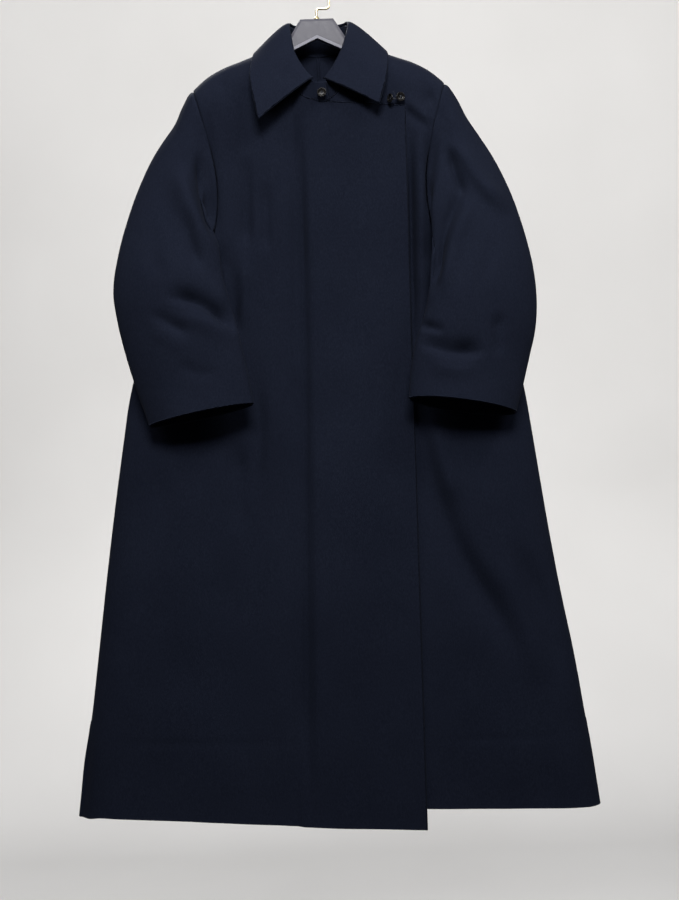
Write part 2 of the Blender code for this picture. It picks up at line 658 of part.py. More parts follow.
def sleeve(side, front, back_panel):
    """Grid and normals of a whole sleeve, from the armhole to the cuff."""
    sign = 1.0 if side == "left" else -1.0
    edge, away, panel_normals = armhole_loop(front, back_panel)
    count = len(edge)
    underarm = sum(ARMHOLE_ROWS)
    split = underarm - ARMHOLE_ROWS[0]
    angles = np.concatenate((
        np.linspace(0.0, math.pi, split + 1),
        np.linspace(math.pi, UNDERARM_ANGLE, ARMHOLE_ROWS[0] + 1)[1:],
        np.linspace(UNDERARM_ANGLE, 2 * math.pi, count - underarm)[1:],
    ))
    place = np.arange(count)
    lap = ease(place, split + LAP_ROWS[0], split + LAP_ROWS[1])
    lap = lap * (1.0 - ease(place, underarm, underarm + LAP_ROWS[2]))
    round_side = ease(place, underarm + ROUND_SIDE_ROWS[0], underarm + ROUND_SIDE_ROWS[1])
    round_side = round_side * (1.0 - ease(place, underarm + ROUND_SIDE_ROWS[2], count - 1))
    start = edge + away * (2 * SEAM_GAP + UNDERARM_ROOM * round_side)[:, None]
    start += panel_normals * (UNDERARM_LIFT * lap)[:, None]
    sections = SLEEVES[side]
    full = []
    for row in range(len(sections["front"])):
        section = {name: values[row] for name, values in sections.items()}
        full.append(sleeve_ring(section, angles, sign))
    below = full[len(SLEEVE_HEAD_SHARES)]
    lead = away * (1.0 - lap)[:, None] + np.array((0.0, -1.0, 0.0)) * lap[:, None]
    past_side = unit(below - start) + np.array((sign * UNDERARM_OUTWARD, 0.0, 0.0))
    lead = unit(lead * (1.0 - round_side)[:, None] + past_side * round_side[:, None])
    rings = [start, start + UNDERARM_LEAD * lead]
    head = range(len(SLEEVE_HEAD_SHARES))
    outer = np.array([full[row][0] for row in head])
    inner = np.array([full[row][split] for row in head])
    top = patch(rings[1][: split + 1], below[: split + 1], outer, inner, SLEEVE_HEAD_SHARES)
    under = patch(rings[1][split:], below[split:], inner, outer, SLEEVE_HEAD_SHARES)
    shares = np.array(SLEEVE_HEAD_SHARES)[:, None]
    behind = ease(place, underarm + BEHIND_ROWS[0], underarm + BEHIND_ROWS[1])
    behind = behind * (1.0 - ease(place, underarm + BEHIND_ROWS[2], count - 1))
    swing = 4 * shares * (1 - shares) * behind[split:]
    under += swing[..., None] * np.array((sign * UNDERARM_SWING, 0.0, UNDERARM_SWING))
    rings += list(np.concatenate((top, under[:, 1:]), axis=1))
    rings += full[len(SLEEVE_HEAD_SHARES) :]
    rings = np.array(rings)
    steps = np.linalg.norm(np.diff(rings, axis=0), axis=-1).mean(axis=1)
    keys = np.concatenate(([0.0], np.cumsum(steps)))
    at = np.concatenate(([0.0], keys[1] + np.linspace(0.0, 1.0, SLEEVE_RINGS) * (keys[-1] - keys[1])))
    flat = rings.reshape(len(rings), -1)
    points = np.stack([smooth(at, keys, column) for column in flat.T], axis=-1).reshape(len(at), count, 3)
    ahead = np.clip(np.sin(angles), 0.0, 1.0)[None, :] * ease(at, 0.0, keys[2])[:, None]
    points[..., 1] -= ahead * fold_height(SLEEVE_FOLDS[side], points[..., 0], points[..., 2])
    closed = np.concatenate((points[:, -2:-1], points, points[:, 1:2]), axis=1)
    run = closed[:, 2:] - closed[:, :-2]
    normals = unit(np.cross(run, np.gradient(points, axis=0)))
    for _ in range(SLEEVE_SMOOTHING):
        around = np.concatenate((normals[:, -2:-1], normals, normals[:, 1:2]), axis=1)
        normals = unit(around[:, :-2] + normals + around[:, 2:])
    outward = points - points.mean(axis=1, keepdims=True)
    if np.sum(normals * outward) < 0:
        normals = -normals
    keep = (1.0 - lap)[:, None]
    normals[0] = unit(keep * panel_normals + (1.0 - keep) * normals[1])
    return points, normals, split


def sleeve_half(points, normals, first, last):
    """A run of a sleeve's columns, drawn in by half a seam gap at both seams."""
    part = points[:, first : last + 1].copy()
    part[:, 0] += unit(part[:, 1] - part[:, 0]) * SLEEVE_SEAM_HALF_GAP
    part[:, -1] += unit(part[:, -2] - part[:, -1]) * SLEEVE_SEAM_HALF_GAP
    return part, normals[:, first : last + 1]


def finer(points, parts):
    """A run of points with each step cut into equal parts."""
    keys = np.arange(len(points))
    at = np.linspace(0, keys[-1], parts * keys[-1] + 1)
    return np.stack([np.interp(at, keys, column) for column in points.T], axis=-1)


def collar_run(names):
    """Smooth run of collar points through the table's stations, as many as the neck edges give."""
    ahead = NECK_EDGE_PARTS * ARMHOLE_ROWS[-1]
    behind = NECK_EDGE_PARTS * BACK_ARMHOLE_ROWS[-1]
    keys = np.arange(len(COLLAR["fold_x"]))
    at = np.concatenate((
        np.linspace(0.0, SIDE_STATION, ahead + 1),
        np.linspace(SIDE_STATION, keys[-1], behind + 1)[1:],
    ))
    return np.stack([smooth(at, keys, COLLAR[name]) for name in names], axis=-1), at


def collar_lines():
    """Fold and outer edge on both sides, each from its front end to the centre back."""
    mirror = np.array((-1.0, 1.0, 1.0))
    fold, at = collar_run(("fold_x", "fold_y", "fold_z"))
    edge, at = collar_run(("edge_x", "edge_y", "edge_z"))
    near_front = 1.0 - ease(at, 0.0, FRONT_STATIONS)
    near_side = 1.0 - ease(np.abs(at - SIDE_STATION), 0.0, RIGHT_SIDE_REACH)
    forward = -LAYER_RISE * near_front
    raised = RIGHT_SIDE_RISE * near_side - RIGHT_POINT_DROP * near_front
    right_fold = fold * mirror + np.stack([RIGHT_FOLD_IN * near_side, forward, np.zeros_like(at)], axis=-1)
    right_edge = edge * mirror + np.stack([RIGHT_SIDE_IN * near_side, forward, raised], axis=-1)
    return {"left": (fold, edge), "right": (right_fold, right_edge)}


def collar_leaf(lines, stand):
    """Grid and normals of the turned-down leaf, from its fold over the stand to its outer edge."""
    fold, edge = (np.concatenate((right, left[-2::-1])) for right, left in zip(lines["right"], lines["left"]))
    stand_points, stand_normals = stand
    rise = unit(stand_points[-1, 1:-1] - stand_points[0, 1:-1])
    roll = fold + LEAF_ROLL_OUT * stand_normals[-1, 1:-1] + LEAF_ROLL_UP * rise
    t = np.linspace(0.0, 1.0, LEAF_CELLS + 1)[:, None, None]
    points = (1 - t) ** 2 * fold + 2 * t * (1 - t) * roll + t * t * edge
    normals = unit(np.cross(np.gradient(points, axis=1), np.gradient(points, axis=0)))
    if normals[0, len(fold) // 2, 2] < 0:
        normals = -normals
    return points, normals


def neck_edge(front, behind):
    """Points just above the neck seam from a front's end to the centre back."""
    runs = []
    for (points, normals), rows in ((front, ARMHOLE_ROWS[-1]), (behind, BACK_ARMHOLE_ROWS[-1])):
        edge = points[-rows - 1 :, -1].copy()
        edge[:, 2] += NECK_SEAM_ROOM + 0.5 * CLOTH * np.abs(normals[-rows - 1 :, -1, 2])
        runs.append(finer(edge, NECK_EDGE_PARTS))
    return np.concatenate((runs[0], runs[1][-2::-1]))


def collar_stand(lines, fronts, backs):
    """Grid and normals of the stand, from the neck seam to just under the fold, right end over left."""
    under_fold = 0.5 * COLLAR_CLOTH + FOLD_ROOM
    runs = {}
    for side, past_centre in (("right", STAND_OVERLAP_RIGHT), ("left", -STAND_OVERLAP_LEFT)):
        low = neck_edge(fronts[side], backs[side])
        fold = lines[side][0]
        high = fold + unit(low - fold) * under_fold
        low_end = np.array((past_centre, low[0, 1], FRONT_NECK["height"][0] + STAND_END_LIFT))
        high_end = np.array((past_centre * STAND_END_SLANT, high[0, 1], high[0, 2]))
        runs[side] = (np.concatenate(([low_end], low)), np.concatenate(([high_end], high)))
    low, high = (np.concatenate((right, left[-2::-1])) for right, left in zip(runs["right"], runs["left"]))
    t = np.linspace(0.0, 1.0, STAND_CELLS + 1)[:, None, None]
    points = low + (high - low) * t
    normals = unit(np.cross(np.gradient(points, axis=1), np.gradient(points, axis=0)))
    if normals[1, len(low) // 2, 1] < 0:
        normals = -normals
    return points, normals


def mesh_object(name, vertices, faces, surface, smooth_shaded):
    """A closed mesh facing outwards, as triangles."""
    shape = bmesh.new()
    made = [shape.verts.new(tuple(map(float, v))) for v in vertices]
    for face in faces:
        shape.faces.new([made[i] for i in face])
    bmesh.ops.recalc_face_normals(shape, faces=shape.faces)
    bmesh.ops.triangulate(shape, faces=shape.faces)
    for face in shape.faces:
        face.smooth = smooth_shaded
    mesh = bpy.data.meshes.new(name)
    shape.to_mesh(mesh)
    shape.free()
    mesh.materials.append(surface)
    thing = bpy.data.objects.new(name, mesh)
    bpy.context.collection.objects.link(thing)
    return thing


def wall(name, points, normals, thickness, surface):
    """A cloth wall: a grid's points moved half the thickness out and in, closed at the edges.

    Each cell is cut along its shorter diagonal, the same on both faces.
    """
    rows, columns = points.shape[:2]
    half = 0.5 * thickness * normals
    vertices = np.concatenate(((points + half).reshape(-1, 3), (points - half).reshape(-1, 3)))
    inside = rows * columns

    def at(row, column):
        return row * columns + column

    faces = []
    for row in range(rows - 1):
        for column in range(columns - 1):
            quad = (at(row, column), at(row, column + 1), at(row + 1, column + 1), at(row + 1, column))
            rising = np.linalg.norm(points[row, column] - points[row + 1, column + 1])
            falling = np.linalg.norm(points[row, column + 1] - points[row + 1, column])
            turn = 0 if rising <= falling else 1
            a, b, c, d = quad[turn:] + quad[:turn]
            for corners in ((a, b, c), (a, c, d)):
                faces.append(corners)
                faces.append(tuple(inside + corner for corner in corners[::-1]))
    rim = [at(0, column) for column in range(columns)]
    rim += [at(row, columns - 1) for row in range(1, rows)]
    rim += [at(rows - 1, column) for column in range(columns - 2, -1, -1)]
    rim += [at(row, 0) for row in range(rows - 2, 0, -1)]
    for first, second in zip(rim, rim[1:] + rim[:1]):
        faces.append((second, first, inside + first, inside + second))
    return mesh_object(name, vertices, faces, surface, True)


def turned(profile, sides):
    """Vertices and faces of a solid turned about Z from (radius, height) pairs, bottom first."""
    angles = np.linspace(0.0, 2 * math.pi, sides, endpoint=False)
    vertices = [(r * math.cos(a), r * math.sin(a), h) for r, h in profile for a in angles]
    faces = [tuple(range(sides - 1, -1, -1))]
    for ring in range(len(profile) - 1):
        for k in range(sides):
            n = (k + 1) % sides
            faces.append((ring * sides + k, ring * sides + n, (ring + 1) * sides + n, (ring + 1) * sides + k))
    faces.append(tuple((len(profile) - 1) * sides + k for k in range(sides)))
    return np.array(vertices), faces


def button(name, x, y, z, turn, surface):
    """A dished button with a rounded rim, facing the front, its back at y."""
    r, t = BUTTON_RADIUS, BUTTON_THICKNESS
    profile = (
        (0.70 * r, 0.0),
        (0.94 * r, 0.18 * t),
        (r, 0.55 * t),
        (0.94 * r, 0.90 * t),
        (0.84 * r, t),
        (0.72 * r, 0.86 * t),
        (0.58 * r, 0.70 * t),
    )
    vertices, faces = turned(profile, BUTTON_SIDES)
    a = math.radians(turn)
    facing = np.array((math.sin(a), -math.cos(a), 0.0))
    sideways = np.array((math.cos(a), math.sin(a), 0.0))
    upright = np.array((0.0, 0.0, 1.0))
    seat = np.array((x, y, z))
    placed = seat + vertices[:, :1] * sideways + vertices[:, 1:2] * upright + vertices[:, 2:] * facing
    return mesh_object(name, placed, faces, surface, True)


def hanger_body(surface):
    """Flat hanger with softened edges."""
    right = list(zip(HANGER_OUTLINE["x"], HANGER_OUTLINE["height"]))
    left = [(-x, z) for x, z in right[-2::-1]]
    outline = right + left
    shape = bmesh.new()
    low = [shape.verts.new((x, -HANGER_HALF_THICKNESS, z)) for x, z in outline]
    high = [shape.verts.new((x, HANGER_HALF_THICKNESS, z)) for x, z in outline]
    shape.faces.new(low)
    shape.faces.new(high[::-1])
    for k in range(len(outline)):
        n = (k + 1) % len(outline)
        shape.faces.new((low[k], high[k], high[n], low[n]))
    bmesh.ops.recalc_face_normals(shape, faces=shape.faces)
    ends = [e for e in shape.edges if abs(e.verts[0].co.y - e.verts[1].co.y) < HANGER_HALF_THICKNESS]
    bmesh.ops.bevel(shape, geom=ends, offset=HANGER_BEVEL, segments=2, profile=0.5, affect="EDGES")
    bmesh.ops.triangulate(shape, faces=shape.faces)
    mesh = bpy.data.meshes.new("hanger_body")
    shape.to_mesh(mesh)
    shape.free()
    mesh.materials.append(surface)
    thing = bpy.data.objects.new("hanger_body", mesh)
    bpy.context.collection.objects.link(thing)
    return thing


def rounded_path(corners, radius, steps):
    """Points along straight runs with rounded corners, in the XZ plane."""
    path = [np.array(corners[0])]
    for before, corner, after in zip(corners, corners[1:], corners[2:]):
        corner = np.array(corner)
        back_way = unit(np.array(before) - corner)
        on_way = unit(np.array(after) - corner)
        first = corner + back_way * radius
        last = corner + on_way * radius
        centre = first + on_way * radius
        for k in range(steps + 1):
            a = 0.5 * math.pi * k / steps
            path.append(centre + (first - centre) * math.cos(a) + (last - centre) * math.sin(a))
    path.append(np.array(corners[-1]))
    return np.array(path)


def hook(surface):
    """Wire hook: up from the ferrule, a step aside, over the rod and a short way down."""
    top = WIRE_RADIUS
    half = HOOK_HALF_WIDTH
    corners = (
        (0.0, HOOK_FOOT),
        (0.0, HOOK_STEP_HEIGHT),
        (half, HOOK_STEP_HEIGHT),
        (half, top),
        (-half, top),
        (-half, HOOK_TIP_HEIGHT),
    )
    path = rounded_path(corners, HOOK_BEND, BEND_STEPS)
    run = unit(np.gradient(path, axis=0))
    sides = WIRE_SIDES
    vertices = []
    for (x, z), (run_x, run_z) in zip(path, run):
        for k in range(sides):
            a = 2 * math.pi * k / sides
            across = WIRE_RADIUS * math.cos(a)
            vertices.append((x + run_z * across, WIRE_RADIUS * math.sin(a), z - run_x * across))
    faces = [tuple(range(sides))]
    for ring in range(len(path) - 1):
        for k in range(sides):
            n = (k + 1) % sides
            faces.append((ring * sides + k, ring * sides + n, (ring + 1) * sides + n, (ring + 1) * sides + k))
    faces.append(tuple((len(path) - 1) * sides + k for k in range(sides)))
    return mesh_object("hanger_hook", vertices, faces, surface, True)


def build():
    """Every piece of the coat and its hanger."""
    for thing in list(bpy.data.objects):
        bpy.data.objects.remove(thing, do_unlink=True)
    wool = {
        name: material(name + "_wool", NAVY, WOOL_ROUGHNESS)
        for name in ("back_left", "back_right", "front_left", "front_right")
    }
    right = front_right()
    left = front_left()
    back_right = back("right")
    back_left = back("left")
    wall("front_right", *right, CLOTH, wool["front_right"])
    wall("front_left", *left, CLOTH, wool["front_left"])
    wall("back_right", *back_right, CLOTH, wool["back_right"])
    wall("back_left", *back_left, CLOTH, wool["back_left"])
    for side, front, behind in (("right", right, back_right), ("left", left, back_left)):
        points, normals, split = sleeve(side, front, behind)
        last = points.shape[1] - 1
        for part, first, end in (("top", 0, split), ("under", split, last)):
            name = f"sleeve_{side}_{part}"
            half = sleeve_half(points, normals, first, end)
            wall(name, *half, CLOTH, material(name + "_wool", NAVY, WOOL_ROUGHNESS))
    lines = collar_lines()
    stand = collar_stand(lines, {"right": right, "left": left}, {"right": back_right, "left": back_left})
    leaf_wool = material("collar_leaf_wool", NAVY, WOOL_ROUGHNESS)
    stand_wool = material("collar_stand_wool", NAVY_INSIDE, WOOL_ROUGHNESS)
    wall("collar_leaf", *collar_leaf(lines, stand), COLLAR_CLOTH, leaf_wool)
    wall("collar_stand", *stand, COLLAR_CLOTH, stand_wool)
    stand_front = float(stand[0][:, 1, 1].min())
    for name, (x, z, turn, clearance) in BUTTONS.items():
        cloth = stand_front if name == "button_neck" else float(outer_depth(x, z))
        y = cloth - 0.5 * COLLAR_CLOTH - clearance
        button(name, x, y, z, turn, material(name + "_horn", HORN, HORN_ROUGHNESS))
    hanger_body(material("hanger_grey", GREY, PAINT_ROUGHNESS))
    vertices, faces = turned(FERRULE_PROFILE, FERRULE_SIDES)
    ferrule_brass = material("ferrule_brass", BRASS, BRASS_ROUGHNESS, 1.0)
    mesh_object("hanger_ferrule", vertices, faces, ferrule_brass, True)
    hook(material("hook_brass", BRASS, BRASS_ROUGHNESS, 1.0))


build()
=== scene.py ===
"""Looks of the long wrap coat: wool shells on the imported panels, horn buttons, hanger, stage and light."""
import math

import bmesh
import bpy
import numpy as np
from mathutils import Matrix, Vector


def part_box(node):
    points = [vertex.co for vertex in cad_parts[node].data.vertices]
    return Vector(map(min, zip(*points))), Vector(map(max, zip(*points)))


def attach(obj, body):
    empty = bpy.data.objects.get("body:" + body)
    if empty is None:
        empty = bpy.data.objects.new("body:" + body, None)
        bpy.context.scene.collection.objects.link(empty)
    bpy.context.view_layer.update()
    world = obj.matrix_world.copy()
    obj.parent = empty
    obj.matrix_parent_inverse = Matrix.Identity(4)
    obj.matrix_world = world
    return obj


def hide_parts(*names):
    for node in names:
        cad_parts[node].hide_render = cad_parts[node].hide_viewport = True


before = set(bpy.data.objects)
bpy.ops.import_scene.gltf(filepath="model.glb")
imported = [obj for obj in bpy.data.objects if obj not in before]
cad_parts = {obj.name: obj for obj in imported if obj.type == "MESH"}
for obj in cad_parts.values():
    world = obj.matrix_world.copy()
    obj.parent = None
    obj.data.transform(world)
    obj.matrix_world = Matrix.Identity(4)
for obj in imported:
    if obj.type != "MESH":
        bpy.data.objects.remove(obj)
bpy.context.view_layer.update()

# Camera at the photograph's angle
CAMERA_PLACE = (0.0152, -2.0, -0.7653)
CAMERA_ROLL = math.radians(1.8)
CAMERA_LENS = 49.24
CAMERA_CLIP = (0.05, 60.0)
SENSOR = 36.0

# Cloth: thickness, spacing of the shells' points, close rows along their edges, and the swell of free edges
MM = 0.001
CLOTH = 0.0022
COLLAR_CLOTH = 0.0030
PANEL_SPACING = 0.0050
SLEEVE_SPACING = 0.0044
COLLAR_SPACING = 0.0032
EDGE_ROWS = (0.0013, 0.0028, 0.0048, 0.0078)
RIM_STEPS = 4
BREAK_COLUMNS = 3
FREE_SWELL = 0.0011
FREE_SWELL_WIDTH = 0.011

# Sewn edges: the dip beside them, the lip that turns in, the gaps, the slits' tops and the reach of the stand
SEAM_SINK = 0.0010
SEAM_SINK_WIDTH = 0.0036
SEAM_LIP = 0.0046
SEAM_DRAW = 0.0002
SEAM_GAP = 0.0003
SEAM_TURN = 0.5
SLIT_TOP = {"right": -1.194, "left": -1.210}
SLIT_EASE = 0.006
STAND_REACH = 0.0032
STAND_REACH_EASE = 0.010

# Sleeve heads: how far they follow the armholes, where folds begin, and columns repeated round the seam
HEAD_JOIN = 0.030
HEAD_EASE = 0.014
HEAD_ROWS = 3.0
ARMHOLE_SPACING = 0.0004
SLEEVE_WRAP = 3

# Packed walls: distances within which points are one and an edge is a wall's thickness
MERGE_DISTANCE = 2e-5
RIM_TOLERANCE = 5e-6
ACROSS_Y = np.array((1.0, -1.0, 1.0))

# Outermost line of a grid on each side, and the line next to it
ALL = slice(None)
LINES = {
    "first_row": ((0, ALL), (1, ALL)),
    "last_row": ((-1, ALL), (-2, ALL)),
    "first_column": ((ALL, 0), (ALL, 1)),
    "last_column": ((ALL, -1), (ALL, -2)),
}

# Stage, the surroundings as seen and as a fill, and the place, aim, size, power and spread of each light
FLOOR_HEIGHT = -2.6
FLOOR_FRONT = -9.0
WALL_PLACE = 5.2
WALL_TOP = 7.0
WALL_BEND = 1.6
WALL_STEPS = 16
STAGE_HALF_WIDTH = 9.0
SURROUND_SEEN = (0.66, 0.65, 0.65)
FILL_FROM_BELOW_UP = (
    (0.00, (0.01, 0.01, 0.01)),
    (0.50, (0.02, 0.02, 0.022)),
    (0.70, (0.06, 0.06, 0.064)),
    (1.00, (0.25, 0.26, 0.275)),
)
LIGHTS = {
    "front_top": ((0.10, -2.40, 1.10), (0.0, 0.0, -0.38), (1.1, 0.7), 26.0, 105.0),
    "upper_left": ((-1.50, -1.20, 1.30), (0.0, 0.0, -0.45), (0.9, 0.7), 5.8, 120.0),
    "upper_right": ((1.60, -1.20, 1.30), (0.0, 0.0, -0.45), (0.9, 0.7), 9.4, 120.0),
    "behind": ((-0.50, 2.30, 1.75), (0.0, 0.0, -0.70), (1.6, 1.0), 56.0, 100.0),
    "wall_wash": ((0.0, 2.4, 3.6), (0.0, 5.2, -0.8), (9.0, 1.2), 200.0, 140.0),
    "wall_low": ((1.2, 2.4, -2.57), (1.6, 5.2, 0.2), (8.0, 0.8), 160.0, 140.0),
}
STAGE_LIGHT = ((0.0, -5.0, 6.0), (0.0, -5.0, 0.0), (14.0, 10.0), 105.0, 150.0)

# Materials: noises, tones, a paler colour painted as a highlight where an attribute says, roughness, bumps
# and constants
WHITE = (1.0, 1.0, 1.0)
MATERIALS = {
    "navy_wool": {
        "noises": {
            "fibre": (620.0, 4.0, (1.0, 1.0, 0.45)),
            "nap": (160.0, 3.0, (1.0, 1.0, 0.35)),
            "cloud": (9.0, 3.0),
        },
        "tones": (
            ("fibre", (0.28, (0.0072, 0.0094, 0.0180)), (0.50, (0.0092, 0.0119, 0.0222)),
             (0.74, (0.0124, 0.0157, 0.0280))),
            ("cloud", (0.30, (0.86, 0.86, 0.88)), (0.70, WHITE)),
        ),
        "roughness": ("nap", 0.0, 1.0, 0.86, 1.0),
        "bumps": (("nap", 0.14, 0.0010), ("fibre", 0.22, 0.0005)),
        "constants": {"Specular IOR Level": 0.05, "Sheen Weight": 0.012, "Sheen Roughness": 0.50,
                      "Sheen Tint": (0.55, 0.60, 0.72, 1.0)},
    },
    "dark_horn": {
        "noises": {"cloud": (190.0, 4.0, (1.0, 1.0, 0.5)), "streak": (900.0, 3.0, (1.0, 0.6, 0.12))},
        "tones": (
            ("cloud", (0.34, (0.0040, 0.0039, 0.0040)), (0.52, (0.0080, 0.0075, 0.0074)),
             (0.70, (0.020, 0.0180, 0.0168))),
            ("streak", (0.35, (0.75, 0.74, 0.73)), (0.65, WHITE)),
        ),
        "roughness": ("streak", 0.25, 0.75, 0.20, 0.32),
        "bumps": (("streak", 0.05, 0.0002),),
        "constants": {"Specular IOR Level": 0.20, "Coat Weight": 0.03, "Coat Roughness": 0.10},
    },
    "sewing_thread": {
        "noises": {"twist": (2600.0, 2.0, (1.0, 1.0, 0.4))},
        "tones": (("twist", (0.3, (0.010, 0.012, 0.018)), (0.7, (0.040, 0.044, 0.056))),),
        "roughness": ("twist", 0.25, 0.75, 0.55, 0.75),
        "bumps": (("twist", 0.3, 0.0001),),
    },
    "grey_paint": {
        "noises": {"fine": (420.0, 3.0), "broad": (22.0, 3.0)},
        "tones": (
            ("broad", (0.3, (0.080, 0.077, 0.096)), (0.7, (0.092, 0.089, 0.110))),
            ("fine", (0.3, (0.94, 0.94, 0.94)), (0.7, WHITE)),
        ),
        # Painted highlight: the hanger's down-facing faces painted paler, standing in for light from below
        "painted_highlight": ("lower_faces_painted_highlight", (0.36, 0.36, 0.41)),
        "roughness": ("fine", 0.25, 0.75, 0.36, 0.50),
        "bumps": (("fine", 0.08, 0.0004), ("broad", 0.05, 0.0020)),
        "constants": {"Specular IOR Level": 0.30},
    },
    "brass": {
        "noises": {"drawn": (1500.0, 3.0, (1.0, 1.0, 0.06)), "patch": (60.0, 3.0)},
        "tones": (("patch", (0.3, (0.58, 0.48, 0.27)), (0.7, (0.74, 0.64, 0.40))),),
        "roughness": ("patch", 0.25, 0.75, 0.24, 0.40),
        "bumps": (("drawn", 0.06, 0.0002),),
        "constants": {"Metallic": 1.0},
    },
    "pale_paper": {
        "noises": {"mottle": (1.2, 2.0)},
        "tones": (("mottle", (0.3, (0.605, 0.592, 0.578)), (0.7, (0.635, 0.622, 0.608))),),
        "constants": {"Roughness": 0.9},
    },
}


def table(names, *rows):
    """Columns of a short table, by name."""
    return dict(zip(names.split(), np.array(rows, float).T))


# Cloth pieces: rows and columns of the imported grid, directions of the two lower corners, outside
PANELS = {
    "front_right": (36, 25, (-1, 0, -1), (1, 0, -1), (0, -1, 0)),
    "front_left": (36, 20, (1, 0, -1), (-1, 0, -1), (0, -1, 0)),
    "back_right": (25, 12, (-1, 0, -1), (1, 0, -1), (0, 1, 0)),
    "back_left": (25, 12, (1, 0, -1), (-1, 0, -1), (0, 1, 0)),
}
SKIRT_ROWS = {"front": 20, "back": 14}
CORNER_ROWS = {"front": (28, 31), "back": (21,)}
SLEEVE_ROWS = 20
SLEEVE_TOP_COLUMNS = 12
SLEEVE_UNDER_COLUMNS = 15
COLLAR = {
    "collar_leaf": (6, 36, (-1, 0, -1), (1, 0, -1)),
    "collar_stand": (38, 2, (1, -3, -2), (0.2, -6, 1)),
}

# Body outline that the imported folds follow
BODY = table(
    "height half_width side_round",
    (-0.080, 0.262, 0.080),
    (-0.200, 0.256, 0.080),
    (-0.330, 0.250, 0.080),
    (-0.400, 0.248, 0.080),
    (-0.462, 0.200, 0.080),
    (-0.500, 0.238, 0.090),
    (-0.560, 0.284, 0.100),
    (-0.660, 0.319, 0.100),
    (-0.754, 0.336, 0.085),
    (-0.916, 0.3615, 0.075),
    (-1.078, 0.384, 0.070),
    (-1.200, 0.401, 0.065),
    (-1.375, 0.424, 0.065),
)
LEFT_NARROWER = table(
    "height narrower",
    (-0.600, 0.0000),
    (-0.660, 0.0040),
    (-0.750, 0.0065),
    (-0.820, 0.0085),
    (-0.920, 0.0095),
    (-1.000, 0.0080),
    (-1.100, 0.0035),
    (-1.200, 0.0025),
    (-1.375, 0.0025),
)
SHOULDER = table(
    "x height",
    (0.000, -0.088),
    (0.058, -0.107),
    (0.127, -0.1325),
    (0.153, -0.142),
    (0.180, -0.157),
    (0.204, -0.177),
)
SHOULDER_ROUND = 0.060

# Step where the outer front rises over the hidden edge of the under front
HIDDEN_EDGE = table(
    "height x",
    (-0.215, -0.025),
    (-1.162, -0.049),
    (-1.345, -0.052),
)
LAYER_RISE = 0.0046
STEP_WIDTH = 0.012
STEP_CLEARANCE = 0.006

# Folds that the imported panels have: from, to, sideways bow, half width and height, in mm
FOLD_TAPER = 0.42
PACKED_FOLDS = {
    "front": (
        (-116, -290, -123, -450, 0, 17, -3.5),
        (-86, -335, -91, -450, 0, 13, -2.2),
        (-126, -450, -131, -565, 0, 14, 3.5),
        (-145, -745, -149, -890, 0, 22, -3.5),
        (152, -225, 142, -610, 0, 10, -4),
        (168, -225, 158, -610, 0, 16, 3.5),
        (134, -208, 180, -250, 0, 9, 3),
        (140, -660, 300, -1120, 30, 26, -12),
        (164, -690, 215, -900, 10, 24, 8),
        (290, -905, 365, -1180, -12, 26, -8.5),
        (262, -930, 330, -1150, -6, 28, 5),
    ),
    "back": (
        (-120, -600, -170, -1300, 0, 34, -6),
        (135, -650, 160, -1330, 0, 36, -5.5),
        (-235, -760, -290, -1330, 0, 30, 6),
        (245, -800, 285, -1340, 0, 32, 6),
        (-110, -240, -125, -460, 0, 22, -3.5),
        (115, -250, 120, -450, 0, 22, -3.5),
    ),
    "right": (
        (-226, -290, -163, -480, -8, 13, 8),
        (-216, -385, -190, -480, 0, 11, -6),
        (-195, -290, -175, -420, 0, 11, -8),
        (-240, -518, -140, -570, -6, 12, -9),
        (-268, -545, -214, -582, 0, 10, -5),
    ),
    "left": (
        (212, -280, 290, -402, 6, 14, 7),
        (208, -305, 224, -368, 0, 10, -6),
        (224, -355, 166, -525, 6, 12, -7),
        (150, -600, 243, -620, -5, 12, -9),
        (269, -565, 268, -620, 0, 11, -4.5),
    ),
}

